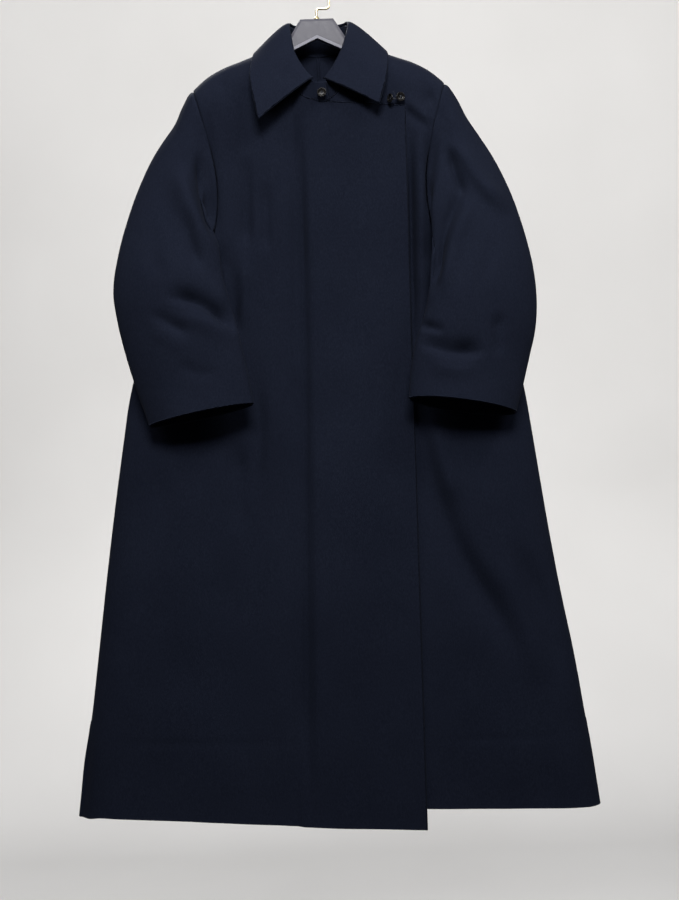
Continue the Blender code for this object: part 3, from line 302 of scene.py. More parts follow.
# Creases: height, width on the left and on the right hand of the path, and the path, in mm
CREASE_STEPS = 14
CREASE_TAPER = 0.34
SLEEVE_EDGE_SHARE = 0.07
CREASE_UNEVEN = 0.22
CREASE_WAVES = 1.25
CREASES = {
    "front": (
        (-1.5, 5, 5, (-109, -142), (-152, -165), (-196, -185)),
        (-1.5, 5, 5, (107, -140), (150, -162), (194, -181)),
        (-2.5, 9, 9, (-152, -164), (-151, -186), (-152, -212)),
        (-8.0, 8, 14, (-117, -285), (-119, -360), (-123, -460)),
        (-5.0, 7, 11, (-87, -330), (-89, -390), (-90, -455)),
        (5.0, 9, 12, (-126, -445), (-129, -510), (-132, -575)),
        (-8.0, 8, 10, (-142, -450), (-144, -520), (-146, -590)),
        (-7.0, 13, 19, (-145, -735), (-146, -810), (-149, -900)),
        (-6.5, 11, 13, (-115, -630), (-112, -740), (-126, -860)),
        (-13.0, 7, 16, (-33, -170), (-33, -420), (-36, -640), (-42, -900)),
        (-15.0, 8, 17, (-35, -600), (-41, -880), (-47, -1140), (-52, -1400)),
        (-0.7, 6, 6, (-390, -1221), (-200, -1226), (-40, -1232)),
        (-0.7, 6, 6, (-331, -1190), (-333, -1260), (-336, -1350)),
        (-0.7, 6, 6, (150, -1232), (270, -1233), (395, -1229)),
        (4.0, 8, 6, (133, -207), (152, -224), (184, -252)),
        (-3.5, 6, 8, (130, -216), (150, -237), (178, -262)),
        (-4.5, 7, 9, (166, -172), (172, -200), (178, -228)),
        (-4.0, 9, 7, (181, -182), (180, -215), (180, -255)),
        (-6.0, 9, 7, (-181, -210), (-173, -320), (-168, -445)),
        (-14.0, 17, 26, (140, -665), (150, -747), (192, -908), (246, -1012), (304, -1125)),
        (9.0, 18, 15, (160, -690), (174, -770), (200, -880)),
        (-9.0, 17, 22, (288, -905), (321, -993), (347, -1085), (366, -1185)),
        (5.5, 22, 22, (258, -920), (296, -1030), (332, -1155)),
        (-2.5, 14, 18, (-250, -640), (-268, -780), (-276, -900)),
        (2.5, 20, 24, (-210, -860), (-222, -1000), (-232, -1150)),
    ),
    "front_left": (
        (-13.0, 8, 8, (143, -218), (142, -400), (138, -640)),
        (6.0, 10, 8, (160, -222), (157, -400), (152, -625)),
        (-8.0, 8, 6, (173, -245), (171, -313), (166, -400)),
    ),
    "back": (
        (-6.0, 30, 36, (-118, -590), (-150, -950), (-172, -1310)),
        (-5.5, 36, 30, (133, -640), (152, -980), (160, -1340)),
        (6.0, 30, 26, (-233, -750), (-268, -1040), (-292, -1340)),
        (6.0, 28, 32, (243, -790), (270, -1060), (287, -1345)),
        (-4.0, 16, 22, (-110, -235), (-114, -350), (-126, -465)),
        (-4.0, 22, 15, (115, -245), (121, -350), (120, -455)),
        (-3.5, 10, 14, (-60, -300), (-40, -420), (-66, -560)),
        (3.0, 14, 12, (62, -330), (50, -450), (74, -590)),
        (-4.5, 10, 12, (-186, -440), (-150, -500), (-108, -530)),
        (-4.5, 12, 10, (184, -445), (152, -505), (112, -540)),
        (-0.9, 5, 5, (-13, -112), (-13, -260), (-13, -420)),
        (-0.9, 5, 5, (13, -112), (13, -260), (13, -420)),
        (-0.7, 6, 6, (-395, -1222), (-200, -1228), (-10, -1230)),
        (-0.7, 6, 6, (10, -1230), (200, -1229), (395, -1226)),
    ),
    "right_top": (
        (13.0, 10, 19, (-228, -285), (-207, -374), (-185, -430), (-158, -486)),
        (-7.0, 8, 9, (-217, -380), (-206, -430), (-190, -485)),
        (-20.0, 12, 10, (-196, -275), (-185, -355), (-171, -436)),
        (-19.0, 18, 6, (-250, -518), (-196, -533), (-132, -578)),
        (4.0, 8, 16, (-240, -549), (-190, -560), (-140, -596)),
        (-5.5, 12, 7, (-274, -540), (-240, -564), (-206, -582)),
        (1.5, 12, 10, (-276, -566), (-238, -590), (-206, -606)),
        (-3.0, 12, 14, (-262, -400), (-262, -450), (-248, -500)),
        (-2.5, 10, 10, (-232, -620), (-200, -640), (-166, -640)),
        (8.0, 44, 30, (-285, -728), (-205, -712), (-120, -694)),
    ),
    "right_under": (
        (-9.0, 9, 12, (-280, -520), (-230, -536), (-176, -530)),
        (-6.0, 8, 10, (-270, -575), (-228, -590), (-188, -580)),
        (7.0, 12, 14, (-214, -330), (-212, -400), (-224, -470)),
        (-5.0, 12, 12, (-240, -640), (-216, -670), (-190, -676)),
    ),
    "left_top": (
        (11.0, 17, 9, (209, -275), (248, -350), (294, -408)),
        (-14.0, 8, 9, (202, -286), (210, -326), (226, -376)),
        (-15.0, 9, 11, (228, -350), (191, -426), (164, -535)),
        (7.0, 12, 9, (240, -372), (207, -440), (182, -540)),
        (-7.0, 8, 5, (144, -574), (162, -579), (186, -590)),
        (-13.0, 18, 6, (140, -601), (198, -621), (250, -620)),
        (3.5, 9, 14, (156, -632), (198, -647), (240, -643)),
        (-5.0, 8, 10, (270, -555), (268, -590), (267, -630)),
        (-3.0, 12, 14, (262, -430), (256, -480), (236, -530)),
        (8.0, 46, 30, (105, -692), (205, -708), (310, -732)),
    ),
    "left_under": (
        (-9.0, 12, 9, (284, -540), (232, -552), (180, -540)),
        (-6.0, 10, 8, (276, -598), (234, -610), (194, -596)),
        (7.0, 14, 12, (214, -330), (214, -410), (226, -480)),
        (-5.0, 12, 12, (244, -655), (222, -680), (196, -690)),
    ),
}

# Slow unevenness of hung wool: height for each metre of wave, and the waves in metres
UNEVEN_HEIGHT = 0.0042
UNEVEN_WAVES = (0.061, 0.083, 0.117, 0.149, 0.203)
UNEVEN_TURN = 2.4
UNEVEN_ALONG = (0.8, 0.5)
UNEVEN_ACROSS = (-0.6, 0.5)

# Horn buttons: turn about the upright axis, and the space behind that the thread fills
BUTTONS = {
    "button_neck": (0.0, 0.0018),
    "button_wrap_outer": (12.0, 0.0036),
    "button_wrap_inner": (-58.0, 0.0060),
}
BUTTON_SIDES = 64
BUTTON_PROFILE = (
    (0.0000, 0.00110), (0.0016, 0.00108), (0.0032, 0.00116), (0.0042, 0.00140), (0.0049, 0.00190),
    (0.0054, 0.00250), (0.0058, 0.00295), (0.0062, 0.00316), (0.0066, 0.00312), (0.0070, 0.00280),
    (0.0073, 0.00225), (0.0074, 0.00165), (0.0072, 0.00105), (0.0067, 0.00052), (0.0060, 0.00020),
    (0.0050, 0.00006), (0.0030, 0.00000), (0.0000, 0.00000),
)
HOLE_RADIUS = 0.00082
HOLE_DISTANCE = 0.00185
HOLE_SIDES = 20
DRILL_REACH = (-0.002, 0.005)
BUTTON_THICKNESS = max(height for _, height in BUTTON_PROFILE)
HORN_SHARP = 35.0

# Button threads: bars over the holes, the wound shank behind, the link of the pair and its loose end
THREAD_RADIUS = 0.00026
THREAD_SIDES = 8
THREAD_STRANDS = 3
STRAND_SPACING = 1.7 * THREAD_RADIUS
BAR_SHARES = np.linspace(-1.12, 1.12, 11)
BAR_RISE = 0.0007
BAR_DIP = 0.0012
SHANK_RADIUS = 0.00105
SHANK_WAIST = 0.25
SHANK_TURN_STEPS = 14
SHANK_TURN_RISE = 2.1 * THREAD_RADIUS
SHANK_START = 0.0002
CORE_START = 0.0004
CORE_POINTS = 6
LINK_SAG = 0.0012
LINK_BEHIND = 0.0012
LINK_STRANDS = 4
LINK_SHARES = np.linspace(0.0, 1.0, 15)
LINK_TWIST = 3.2
LINK_TWIST_RADIUS = 1.5 * THREAD_RADIUS
LOOSE_START = 0.45
LOOSE_SHARES = np.linspace(0.0, 1.0, 9)
LOOSE_RISE = 0.0100
LOOSE_BEND = -0.35
LOOSE_LEAN = -0.22

# Hanger: half outline from the middle of the top, thickness, edges, hook and ferrule
HANGER_OUTLINE = (
    (0.0270, -0.0655), (0.0460, -0.0965), (0.0560, -0.1135), (0.0900, -0.1255), (0.1270, -0.1385),
    (0.1530, -0.1490), (0.1800, -0.1650), (0.1860, -0.1760), (0.1800, -0.1850), (0.1270, -0.1650),
    (0.0800, -0.1430), (0.0405, -0.1160), (0.0000, -0.0970),
)
HANGER_HALF_THICKNESS = 0.0060
HANGER_CHAMFER = 0.0042
HANGER_CHAMFER_DEPTH = 0.0012
HANGER_EDGE = 0.0007
HANGER_SHARP = 9.0
# Height of a face's normal below which a hanger face gets the painted highlight
HANGER_PAINTED_HIGHLIGHT_BELOW = -0.1
WIRE_RADIUS = 0.0018
WIRE_SIDES = 20
WIRE_DOME = np.array((1.0, 0.92, 0.71, 0.38))
WIRE_ASIDE = (0.31, 0.52, 0.79)
HOOK_BEND = 0.0050
HOOK_BEND_STEPS = 10
HOOK_PATH = (
    (0.0, -0.0602), (0.0, -0.0480), (0.0207, -0.0480),
    (0.0207, 0.0018), (-0.0207, 0.0018), (-0.0207, -0.0240),
)
FERRULE_PROFILE = (
    (0.0000, -0.0651), (0.0046, -0.0651), (0.0046, -0.0645), (0.0042, -0.0643), (0.0042, -0.0640),
    (0.0046, -0.0638), (0.0045, -0.0632), (0.0036, -0.0617), (0.0028, -0.0610), (0.0024, -0.0608),
    (0.0000, -0.0608),
)
FERRULE_SIDES = 48
FERRULE_SHARP = 30.0

# Sewn tacks: ends of the pocket mouths and tops of the slits, and their stitches
POCKET_TOP = -0.545
POCKET_FOOT = -0.722
TACK_HEIGHT = 0.0070
TACK_SPACING = 0.00055
TACK_LENGTH = 0.0062
TACK_THICKNESS = 0.00055
TACK_POINTS = 8
STITCH_SIDES = 8
STITCH_RINGS = 5


def smooth(at, keys, values):
    """Smooth curve through keyed values, held level past both ends."""
    if keys[0] > keys[-1]:
        keys = keys[::-1]
        values = values[::-1]
    at = np.clip(np.asarray(at, float), keys[0], keys[-1])
    slopes = np.gradient(values, keys)
    return hermite(at, keys, values, slopes, slopes)


def hermite(at, keys, values, leaving, arriving):
    """Values between keys, along the first axis, from the slopes that leave and arrive at each key."""
    index = np.clip(np.searchsorted(keys, at, side="right") - 1, 0, len(keys) - 2)
    span = keys[index + 1] - keys[index]
    t = (at - keys[index]) / span
    shape = np.shape(t) + (1,) * (np.ndim(values) - 1)
    t, span = t.reshape(shape), span.reshape(shape)
    start = (1 + 2 * t) * (1 - t) ** 2 * values[index] + t * (1 - t) ** 2 * span * leaving[index]
    end = t * t * (3 - 2 * t) * values[index + 1] + t * t * (t - 1) * span * arriving[index + 1]
    return start + end


def ease(value, low, high):
    """0 below low, 1 above high, smooth between."""
    t = np.clip((np.asarray(value, float) - low) / (high - low), 0.0, 1.0)
    return t * t * (3 - 2 * t)


def unit(vectors):
    """Vectors of length one."""
    return vectors / np.maximum(np.linalg.norm(vectors, axis=-1, keepdims=True), 1e-12)


def travelled(line):
    """Distance from the start of a line to each of its points."""
    return np.concatenate(([0.0], np.cumsum(np.linalg.norm(np.diff(line, axis=0), axis=1))))


def fullness(x, z):
    """Share of the body's depth at a place: 1 on the flat, 0 on the side and shoulder folds."""
    narrower = smooth(z, LEFT_NARROWER["height"], LEFT_NARROWER["narrower"]) * (x > 0.0)
    half_width = smooth(z, BODY["height"], BODY["half_width"]) - narrower
    round_over = smooth(z, BODY["height"], BODY["side_round"])
    top = smooth(np.abs(x), SHOULDER["x"], SHOULDER["height"])
    over_side = np.clip((np.abs(x) - half_width) / round_over + 1.0, 0.0, 1.0)
    over_top = np.clip(1.0 - (top - z) / SHOULDER_ROUND, 0.0, 1.0)
    return np.sqrt(1.0 - over_side**2) * np.sqrt(1.0 - over_top**2)


def lap_step(x, z):
    """How far the outer front stands out over the under front at a place."""
    start = smooth(z, HIDDEN_EDGE["height"], HIDDEN_EDGE["x"]) - STEP_CLEARANCE - STEP_WIDTH
    return LAYER_RISE * ease(x, start, start + STEP_WIDTH)


def fold_height(folds, x, z):
    """Height of a table's folds at a place."""
    total = np.zeros(np.broadcast(x, z).shape)
    for x0, z0, x1, z1, bow, width, height in MM * np.array(folds):
        length = math.hypot(x1 - x0, z1 - z0)
        run_x, run_z = (x1 - x0) / length, (z1 - z0) / length
        share = ((x - x0) * run_x + (z - z0) * run_z) / length
        inside = np.clip(share, 0.0, 1.0)
        off = (x - x0) * run_z - (z - z0) * run_x - bow * 4 * inside * (1 - inside)
        taper = np.exp(-(((share - 0.5) / FOLD_TAPER) ** 4))
        total += height * np.exp(-((off / width) ** 2)) * taper
    return total


def crease_height(creases, x, z):
    """Height of listed creases at a place."""
    total = np.zeros(np.broadcast(x, z).shape)
    for height, left, right, *path in creases:
        corners = MM * np.array(path, float)
        keys = travelled(corners)
        slopes = np.gradient(corners, keys, axis=0)
        line = hermite(np.linspace(0.0, keys[-1], CREASE_STEPS + 1), keys, corners, slopes, slopes)
        off = np.full(total.shape, np.inf)
        share = np.zeros(total.shape)
        width = np.ones(total.shape)
        for step, (start, run) in enumerate(zip(line, np.diff(line, axis=0))):
            dx, dz = x - start[0], z - start[1]
            along = np.clip((dx * run[0] + dz * run[1]) / (run @ run), 0.0, 1.0)
            here = np.hypot(dx - along * run[0], dz - along * run[1])
            closer = here < off
            off = np.where(closer, here, off)
            share = np.where(closer, (step + along) / CREASE_STEPS, share)
            width = np.where(closer, np.where(run[0] * dz > run[1] * dx, left, right), width)
        uneven = 1.0 + CREASE_UNEVEN * np.sin(2 * math.pi * CREASE_WAVES * share + path[0][0])
        taper = ease(np.minimum(share, 1.0 - share), 0.0, CREASE_TAPER) * uneven
        total += MM * height * taper * np.exp(-((off / (MM * width)) ** 2))
    return total


def unevenness(x, z):
    """Slow, shallow waves at a place."""
    total = np.zeros(np.broadcast(x, z).shape)
    for count, wave in enumerate(UNEVEN_WAVES):
        turn = UNEVEN_TURN * count
        c, s = math.cos(turn), math.sin(turn)
        along = (UNEVEN_ALONG[0] * x * c + UNEVEN_ALONG[1] * z * s) / wave
        across = (UNEVEN_ACROSS[0] * x * s + UNEVEN_ACROSS[1] * z * c) / wave
        waves = np.sin(2 * math.pi * along + turn) * np.cos(2 * math.pi * across - turn)
        total += UNEVEN_HEIGHT * wave * waves
    return total


def packed_sheets(node, thickness):
    """Merged points of a packed wall, and its two faces as tables from a directed edge to a corner."""
    shape = bmesh.new()
    shape.from_mesh(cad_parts[node].data)
    bmesh.ops.remove_doubles(shape, verts=shape.verts, dist=MERGE_DISTANCE)
    shape.verts.index_update()
    points = np.array([v.co for v in shape.verts])
    rim = set()
    for edge in shape.edges:
        if abs(edge.calc_length() - thickness) < RIM_TOLERANCE:
            rim.update(edge.link_faces)
    waiting = set(shape.faces) - rim
    sheets = []
    while waiting:
        stack = [waiting.pop()]
        thirds = {}
        while stack:
            face = stack.pop()
            a, b, c = (v.index for v in face.verts)
            thirds.update({(a, b): c, (b, c): a, (c, a): b})
            near = {other for edge in face.edges for other in edge.link_faces} & waiting
            waiting -= near
            stack += near
        sheets.append(thirds)
    shape.free()
    return points, sheets


def furthest(direction):
    """Picks the point that lies furthest along a direction."""
    return lambda points: np.argmax(points @ np.array(direction, float))


def nearest(place):
    """Picks the point nearest to a place."""
    return lambda points: np.argmin(np.linalg.norm(points - place, axis=1))


def walked_grid(points, thirds, rows, columns, first, second):
    """Grid of points over one face of a wall, its first row between the two corners that are picked."""
    follow = {a: b for a, b in thirds if (b, a) not in thirds}
    edge = np.array(sorted(follow))
    start = edge[first(points[edge])]
    stop = edge[second(points[edge])]
    loop = [start]
    while follow[loop[-1]] != start:
        loop.append(follow[loop[-1]])
    if loop[columns] != stop:
        loop = loop[:1] + loop[:0:-1]
        thirds = {(b, a): c for (a, b), c in thirds.items()}
    if len(loop) != 2 * (rows + columns) or loop[columns] != stop:
        raise ValueError("a packed cloth wall isn't the expected grid")
    grid = [loop[: columns + 1]]
    for row in range(rows):
        above = [loop[-1 - row]]
        for a, b in zip(grid[-1], grid[-1][1:]):
            corner = thirds[a, b]
            above.append(thirds[above[-1], b] if corner == above[-1] else corner)
        grid.append(above)
    return points[np.array(grid)]


def middle_grid(node, thickness, rows, columns, first, second, outside):
    """Middle surface of a packed wall and the direction from its inner to its outer face.

    outside is a direction, or None for a wall that goes round an upright middle line.
    """
    points, sheets = packed_sheets(node, thickness)
    one, two = (walked_grid(points, thirds, rows, columns, first, second) for thirds in sheets)
    middle = 0.5 * (one + two)
    if outside is None:
        outside = (middle - middle.mean(axis=(0, 1))) * np.array((1.0, 1.0, 0.0))
    normals = unit(one - two)
    return middle, normals if np.sum(normals * np.array(outside, float)) > 0 else -normals


def lengths(grid, axis):
    """Mean distance along an axis of a grid, from its start to each line."""
    steps = np.linalg.norm(np.diff(grid, axis=axis), axis=-1).mean(axis=1 - axis)
    return np.concatenate(([0.0], np.cumsum(steps)))


def stations(start, end, spacing):
    """Even steps from start to end, with close rows at both ends."""
    close = np.array(EDGE_ROWS)
    low, high = start + close[-1], end - close[-1]
    count = max(2, round((high - low) / spacing))
    inside = np.linspace(low, high, count + 1)
    return np.concatenate(([start], start + close[:-1], inside, end - close[-2::-1], [end]))


def finer_rows(grid, keys, at, corner_rows=(), top_mirrored=False):
    """A grid at new stations along its rows' axis; corners of the inner edge stay sharp."""
    slopes = np.gradient(grid, keys, axis=0)
    if top_mirrored:
        slopes[-1] = (grid[-2] * ACROSS_Y - grid[-2]) / (2 * (keys[-1] - keys[-2]))
    leaving, arriving = slopes.copy(), slopes.copy()
    columns = grid.shape[1] - 1
    sharp = ease(np.arange(columns + 1), columns - BREAK_COLUMNS, columns)[:, None]
    for row in corner_rows:
        before = (grid[row] - grid[row - 1]) / (keys[row] - keys[row - 1])
        after = (grid[row + 1] - grid[row]) / (keys[row + 1] - keys[row])
        arriving[row] += (before - arriving[row]) * sharp
        leaving[row] += (after - leaving[row]) * sharp
    return hermite(at, keys, grid, leaving, arriving)


def finer_columns(grid, keys, at, mirrored=None):
    """A grid at new stations across; mirrored gives each row's share of carrying on round the side seam."""
    turned = np.swapaxes(grid, 0, 1)
    slopes = np.gradient(turned, keys, axis=0)
    if mirrored is not None:
        round_side = (turned[1] - turned[1] * ACROSS_Y) / (2 * (keys[1] - keys[0]))
        slopes[0] += (round_side - slopes[0]) * mirrored[:, None]
    return np.swapaxes(hermite(at, keys, turned, slopes, slopes), 0, 1)


def edge_distance(grid, axis):
    """Distance of each point from the start and from the end of its line."""
    steps = np.linalg.norm(np.diff(grid, axis=axis), axis=-1)
    first = np.concatenate((np.zeros_like(np.take(steps, [0], axis)), np.cumsum(steps, axis=axis)), axis=axis)
    return first, np.take(first, [-1], axis) - first


def grid_normals(grid, outside):
    """Directions square to a grid, on the side that outside gives."""
    normals = unit(np.cross(np.gradient(grid, axis=1), np.gradient(grid, axis=0)))
    return normals if np.sum(normals * outside) > 0 else -normals


def sunk(distance):
    """How far cloth dips at this distance from a sewn edge."""
    lip = SEAM_LIP * (1.0 - ease(distance, 0.0, EDGE_ROWS[0]))
    return SEAM_SINK * np.exp(-((distance / SEAM_SINK_WIDTH) ** 2)) + lip


def swollen(distance):
    """Thickness of the cloth at this distance from a free edge, where it is turned in."""
    return CLOTH + FREE_SWELL * np.exp(-((distance / FREE_SWELL_WIDTH) ** 2))


def drawn_back(grid, edge, share):
    """Moves a sewn edge's points over the next line, so that the edge turns in between its neighbours."""
    line, inner_line = LINES[edge]
    grid[line] += (grid[inner_line] - grid[line]) * np.asarray(share, float)[..., None]


def wool_shell(name, grid, normals, thickness, draw, surface):
    """A closed cloth wall with rounded edges: its points moved out and in, its edge drawn in by a little."""
    rows, columns = grid.shape[:2]
    half = np.broadcast_to(0.5 * np.asarray(thickness), (rows, columns))[..., None]
    grid = grid.copy()
    number = np.arange(rows * columns).reshape(rows, columns)
    rim = np.concatenate((number[0], number[1:, -1], number[-1, -2::-1], number[-2:0:-1, 0]))
    away = np.zeros_like(grid)
    for line, inward in LINES.values():
        along = unit(np.gradient(grid[line], axis=0))
        out = unit(np.cross(along, normals[line]))
        out *= np.sign(np.sum(out * (grid[line] - grid[inward]), axis=-1, keepdims=True))
        away[line] += out
    grid -= away * (half + draw)
    points = grid.reshape(-1, 3)
    facing = (half * normals).reshape(-1, 3)
    swell = half.reshape(-1, 1)[rim]
    rim_points, rim_away, rim_facing = points[rim], swell * unit(away.reshape(-1, 3)[rim]), facing[rim]
    layers = [points + facing, points - facing]
    for step in range(1, RIM_STEPS):
        angle = math.pi * (0.5 - step / RIM_STEPS)
        layers.append(rim_points + math.cos(angle) * rim_away + math.sin(angle) * rim_facing)
    vertices = np.concatenate(layers)
    total = rows * columns
    corners = number[:-1, :-1], number[:-1, 1:], number[1:, 1:], number[1:, :-1]
    cells = np.stack(corners, axis=-1).reshape(-1, 4)
    between = [2 * total + k * len(rim) + np.arange(len(rim)) for k in range(RIM_STEPS - 1)]
    rings = [rim, *between, total + rim]
    strips = []
    for upper, lower in zip(rings, rings[1:]):
        strips.append(np.stack((np.roll(upper, -1), upper, lower, np.roll(lower, -1)), axis=-1))
    faces = np.concatenate([cells, total + cells[:, ::-1]] + strips)
    middle = rows // 2, columns // 2
    run = grid[middle[0], middle[1] + 1] - grid[middle]
    rise = grid[middle[0] + 1, middle[1]] - grid[middle]
    if np.cross(run, rise) @ normals[middle] < 0:
        faces = faces[:, ::-1]
    width = edge_distance(grid, 1)[0]
    height = edge_distance(grid, 0)[0]
    cut = np.stack((width, height), axis=-1).reshape(-1, 2)
    places = np.concatenate([cut, cut] + [cut[rim]] * (RIM_STEPS - 1))
    mesh = bpy.data.meshes.new(name)
    mesh.from_pydata(vertices.tolist(), [], faces.tolist())
    layer = mesh.uv_layers.new(name="cut")
    layer.data.foreach_set("uv", places[faces.ravel()].ravel())
    return finished(name, mesh, surface)


def finished(name, mesh, surface, sharp=None):
    """An object at the origin for a mesh, smooth shaded up to an angle in degrees, with its material."""
    mesh.validate()
    mesh.polygons.foreach_set("use_smooth", [True] * len(mesh.polygons))
    if sharp:
        mesh.set_sharp_from_angle(angle=math.radians(sharp))
    mesh.materials.clear()
    mesh.materials.append(surface)
    mesh.update()
    thing = bpy.data.objects.new(name, mesh)
    bpy.context.scene.collection.objects.link(thing)
    return thing


def coat_part(thing):
    """Rides a finished piece on the coat's one body."""
    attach(thing, "root")


def coat_piece(thing, node):
    """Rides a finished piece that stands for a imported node."""
    coat_part(thing)
    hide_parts(node)


def cloth_piece(thing, node):
    """Rides a finished cloth piece that stands for an imported node."""
    coat_piece(thing, node)


def body_panel(node, surface):
    """Makes the shell of a front or back panel, and gives the lines of its armhole and side seam."""
    rows, columns, first, second, outside = PANELS[node]
    kind, side = node.split("_")
    facing = -1.0 if kind == "front" else 1.0
    grid, _ = middle_grid(node, CLOTH, rows, columns, furthest(first), furthest(second), outside)
    plain = grid.copy()
    packed = fold_height(PACKED_FOLDS[kind], grid[..., 0], grid[..., 2])
    plain[..., 1] -= facing * packed * fullness(grid[..., 0], grid[..., 2])
    lapped = node == "front_right"
    plain[..., 1] += lapped * lap_step(grid[..., 0], grid[..., 2])
    row_keys, column_keys = lengths(plain, 0), lengths(plain, 1)
    row_at = stations(0.0, row_keys[-1], PANEL_SPACING)
    column_at = stations(0.0, column_keys[-1], PANEL_SPACING)
    skirt = row_keys[SKIRT_ROWS[kind]]
    fine = finer_rows(plain, row_keys, row_at, CORNER_ROWS[kind], True)
    below = 1.0 - ease(row_at, skirt - PANEL_SPACING, skirt + PANEL_SPACING)
    fine = finer_columns(fine, column_keys, column_at, below)
    x, z = fine[..., 0], fine[..., 2]
    creases = CREASES[kind] + CREASES.get(node, ())
    fine[..., 1] += facing * (crease_height(creases, x, z) + unevenness(x, z)) * fullness(x, z)
    fine[..., 1] -= lapped * lap_step(x, z)
    armhole = fine[row_at >= skirt, 0]
    side_seam = fine[row_at <= skirt, 0]
    normals = panel_normals(fine, facing, below)
    from_outer, from_inner = edge_distance(fine, 1)
    from_hem, from_top = edge_distance(fine, 0)
    sewn = ease(fine[:, 0, 2], SLIT_TOP[side] - SLIT_EASE, SLIT_TOP[side] + SLIT_EASE)
    free = np.minimum(from_hem, np.where(sewn[:, None] < 0.5, from_outer, from_hem))
    dip = sunk(from_outer) * sewn[:, None] + sunk(from_top)
    drawn_back(fine, "first_column", SEAM_TURN * sewn)
    drawn_back(fine, "last_row", SEAM_TURN)
    if kind == "front":
        free = np.minimum(free, from_inner)
    else:
        below_neck = row_at < row_keys[CORNER_ROWS[kind][0]]
        dip += sunk(from_inner) * below_neck[:, None]
        drawn_back(fine, "last_column", SEAM_TURN * below_neck)
    fine -= normals * dip[..., None]
    normals = grid_normals(fine, normals)
    cloth_piece(wool_shell(node + "_cloth", fine, normals, swollen(free), SEAM_DRAW, surface), node)
    return armhole, side_seam


def panel_normals(grid, facing, below):
    """Outward directions of a body panel, carried round the side seam and the shoulder."""
    run = np.gradient(grid, axis=1)
    rise = np.gradient(grid, axis=0)
    run[:, 0] += (grid[:, 1] - grid[:, 1] * ACROSS_Y - run[:, 0]) * below[:, None]
    rise[-1] = grid[-2] * ACROSS_Y - grid[-2]
    normals = unit(np.cross(run, rise))
    return normals if np.sum(normals[..., 1]) * facing > 0 else -normals


def close_line(line, spacing):
    """A line with points close together."""
    keys = travelled(line)
    at = np.linspace(0.0, keys[-1], int(keys[-1] / spacing))
    return np.stack([np.interp(at, keys, line[:, axis]) for axis in range(3)], axis=-1)


def joined_head(part, row_at, armholes):
    """A sleeve piece with its head moved to just outside the panels' armholes."""
    line = np.concatenate([close_line(armhole, ARMHOLE_SPACING) for armhole in armholes])
    head = part[0]
    nearby = np.argmin(np.linalg.norm(head[:, None] - line[None], axis=-1), axis=1)
    meant = line[nearby] + SEAM_GAP * unit(part[len(EDGE_ROWS)] - head)
    return part + (meant - head)[None] * (1.0 - ease(row_at, 0.0, HEAD_JOIN))[:, None, None]


def sleeve_pieces(side, armholes, surface):
    """Makes the shells of the top and under sleeve, spread together so that their seams stay in line."""
    sign = 1.0 if side == "left" else -1.0
    corners = furthest((sign, 0, -1)), furthest((-sign, 0, -1))
    names = [f"sleeve_{side}_top", f"sleeve_{side}_under"]
    top, _ = middle_grid(names[0], CLOTH, SLEEVE_ROWS, SLEEVE_TOP_COLUMNS, *corners, (0, -1, 0))
    corners = nearest(top[0, 0]), nearest(top[0, -1])
    under, _ = middle_grid(names[1], CLOTH, SLEEVE_ROWS, SLEEVE_UNDER_COLUMNS, *corners, (0, 1, 0))
    top, under = top[::-1].copy(), under[::-1, ::-1].copy()
    ahead = np.sin(np.linspace(0.0, math.pi, SLEEVE_TOP_COLUMNS + 1))[None, :]
    eased = ease(np.arange(SLEEVE_ROWS + 1), 0.0, HEAD_ROWS)[:, None]
    top[..., 1] += ahead * eased * fold_height(PACKED_FOLDS[side], top[..., 0], top[..., 2])
    inner_seam = 0.5 * (top[:, -1] + under[:, 0])
    outer_seam = 0.5 * (top[:, 0] + under[:, -1])
    ring = np.concatenate((outer_seam[:, None], top[:, 1:-1], inner_seam[:, None], under[:, 1:-1]), axis=1)
    count = ring.shape[1]
    wrapped = np.concatenate((ring[:, -SLEEVE_WRAP:], ring, ring[:, : SLEEVE_WRAP + 1]), axis=1)
    row_keys, keys = lengths(ring, 0), lengths(wrapped, 1)
    row_at = stations(0.0, row_keys[-1], SLEEVE_SPACING)
    fine = finer_rows(wrapped, row_keys, row_at)
    starts = [keys[SLEEVE_WRAP + column] for column in (0, SLEEVE_TOP_COLUMNS, count)]
    for name, start, end in zip(names, starts, starts[1:]):
        column_at = stations(start, end, SLEEVE_SPACING)
        past = np.concatenate(([start - SLEEVE_SPACING], column_at, [end + SLEEVE_SPACING]))
        part = joined_head(finer_columns(fine, keys, past), row_at, armholes)
        normals = grid_normals(part, part - part.mean(axis=1, keepdims=True))[:, 1:-1]
        part = part[:, 1:-1]
        share = (column_at - start) / (end - start)
        from_seams = ease(np.minimum(share, 1.0 - share), 0.0, SLEEVE_EDGE_SHARE)
        lift = from_seams[None, :] * ease(row_at, 0.0, HEAD_EASE)[:, None]
        x, z = part[..., 0], part[..., 2]
        creases = CREASES[name[len("sleeve_"):]]
        part = part + normals * (lift * (crease_height(creases, x, z) + unevenness(x, z)))[..., None]
        normals = grid_normals(part, normals)
        from_outer, from_inner = edge_distance(part, 1)
        from_armhole, from_cuff = edge_distance(part, 0)
        dip = sunk(from_outer) + sunk(from_inner) + sunk(from_armhole)
        for edge in ("first_column", "last_column", "first_row"):
            drawn_back(part, edge, SEAM_TURN)
        part = part - normals * dip[..., None]
        normals = grid_normals(part, normals)
        cloth_piece(wool_shell(name + "_cloth", part, normals, swollen(from_cuff), SEAM_DRAW, surface), name)


def finer(grid, row_keys, column_keys, spacing):
    """A grid at finer stations both ways."""
    rows = finer_rows(grid, row_keys, stations(0.0, row_keys[-1], spacing))
    return finer_columns(rows, column_keys, stations(0.0, column_keys[-1], spacing))


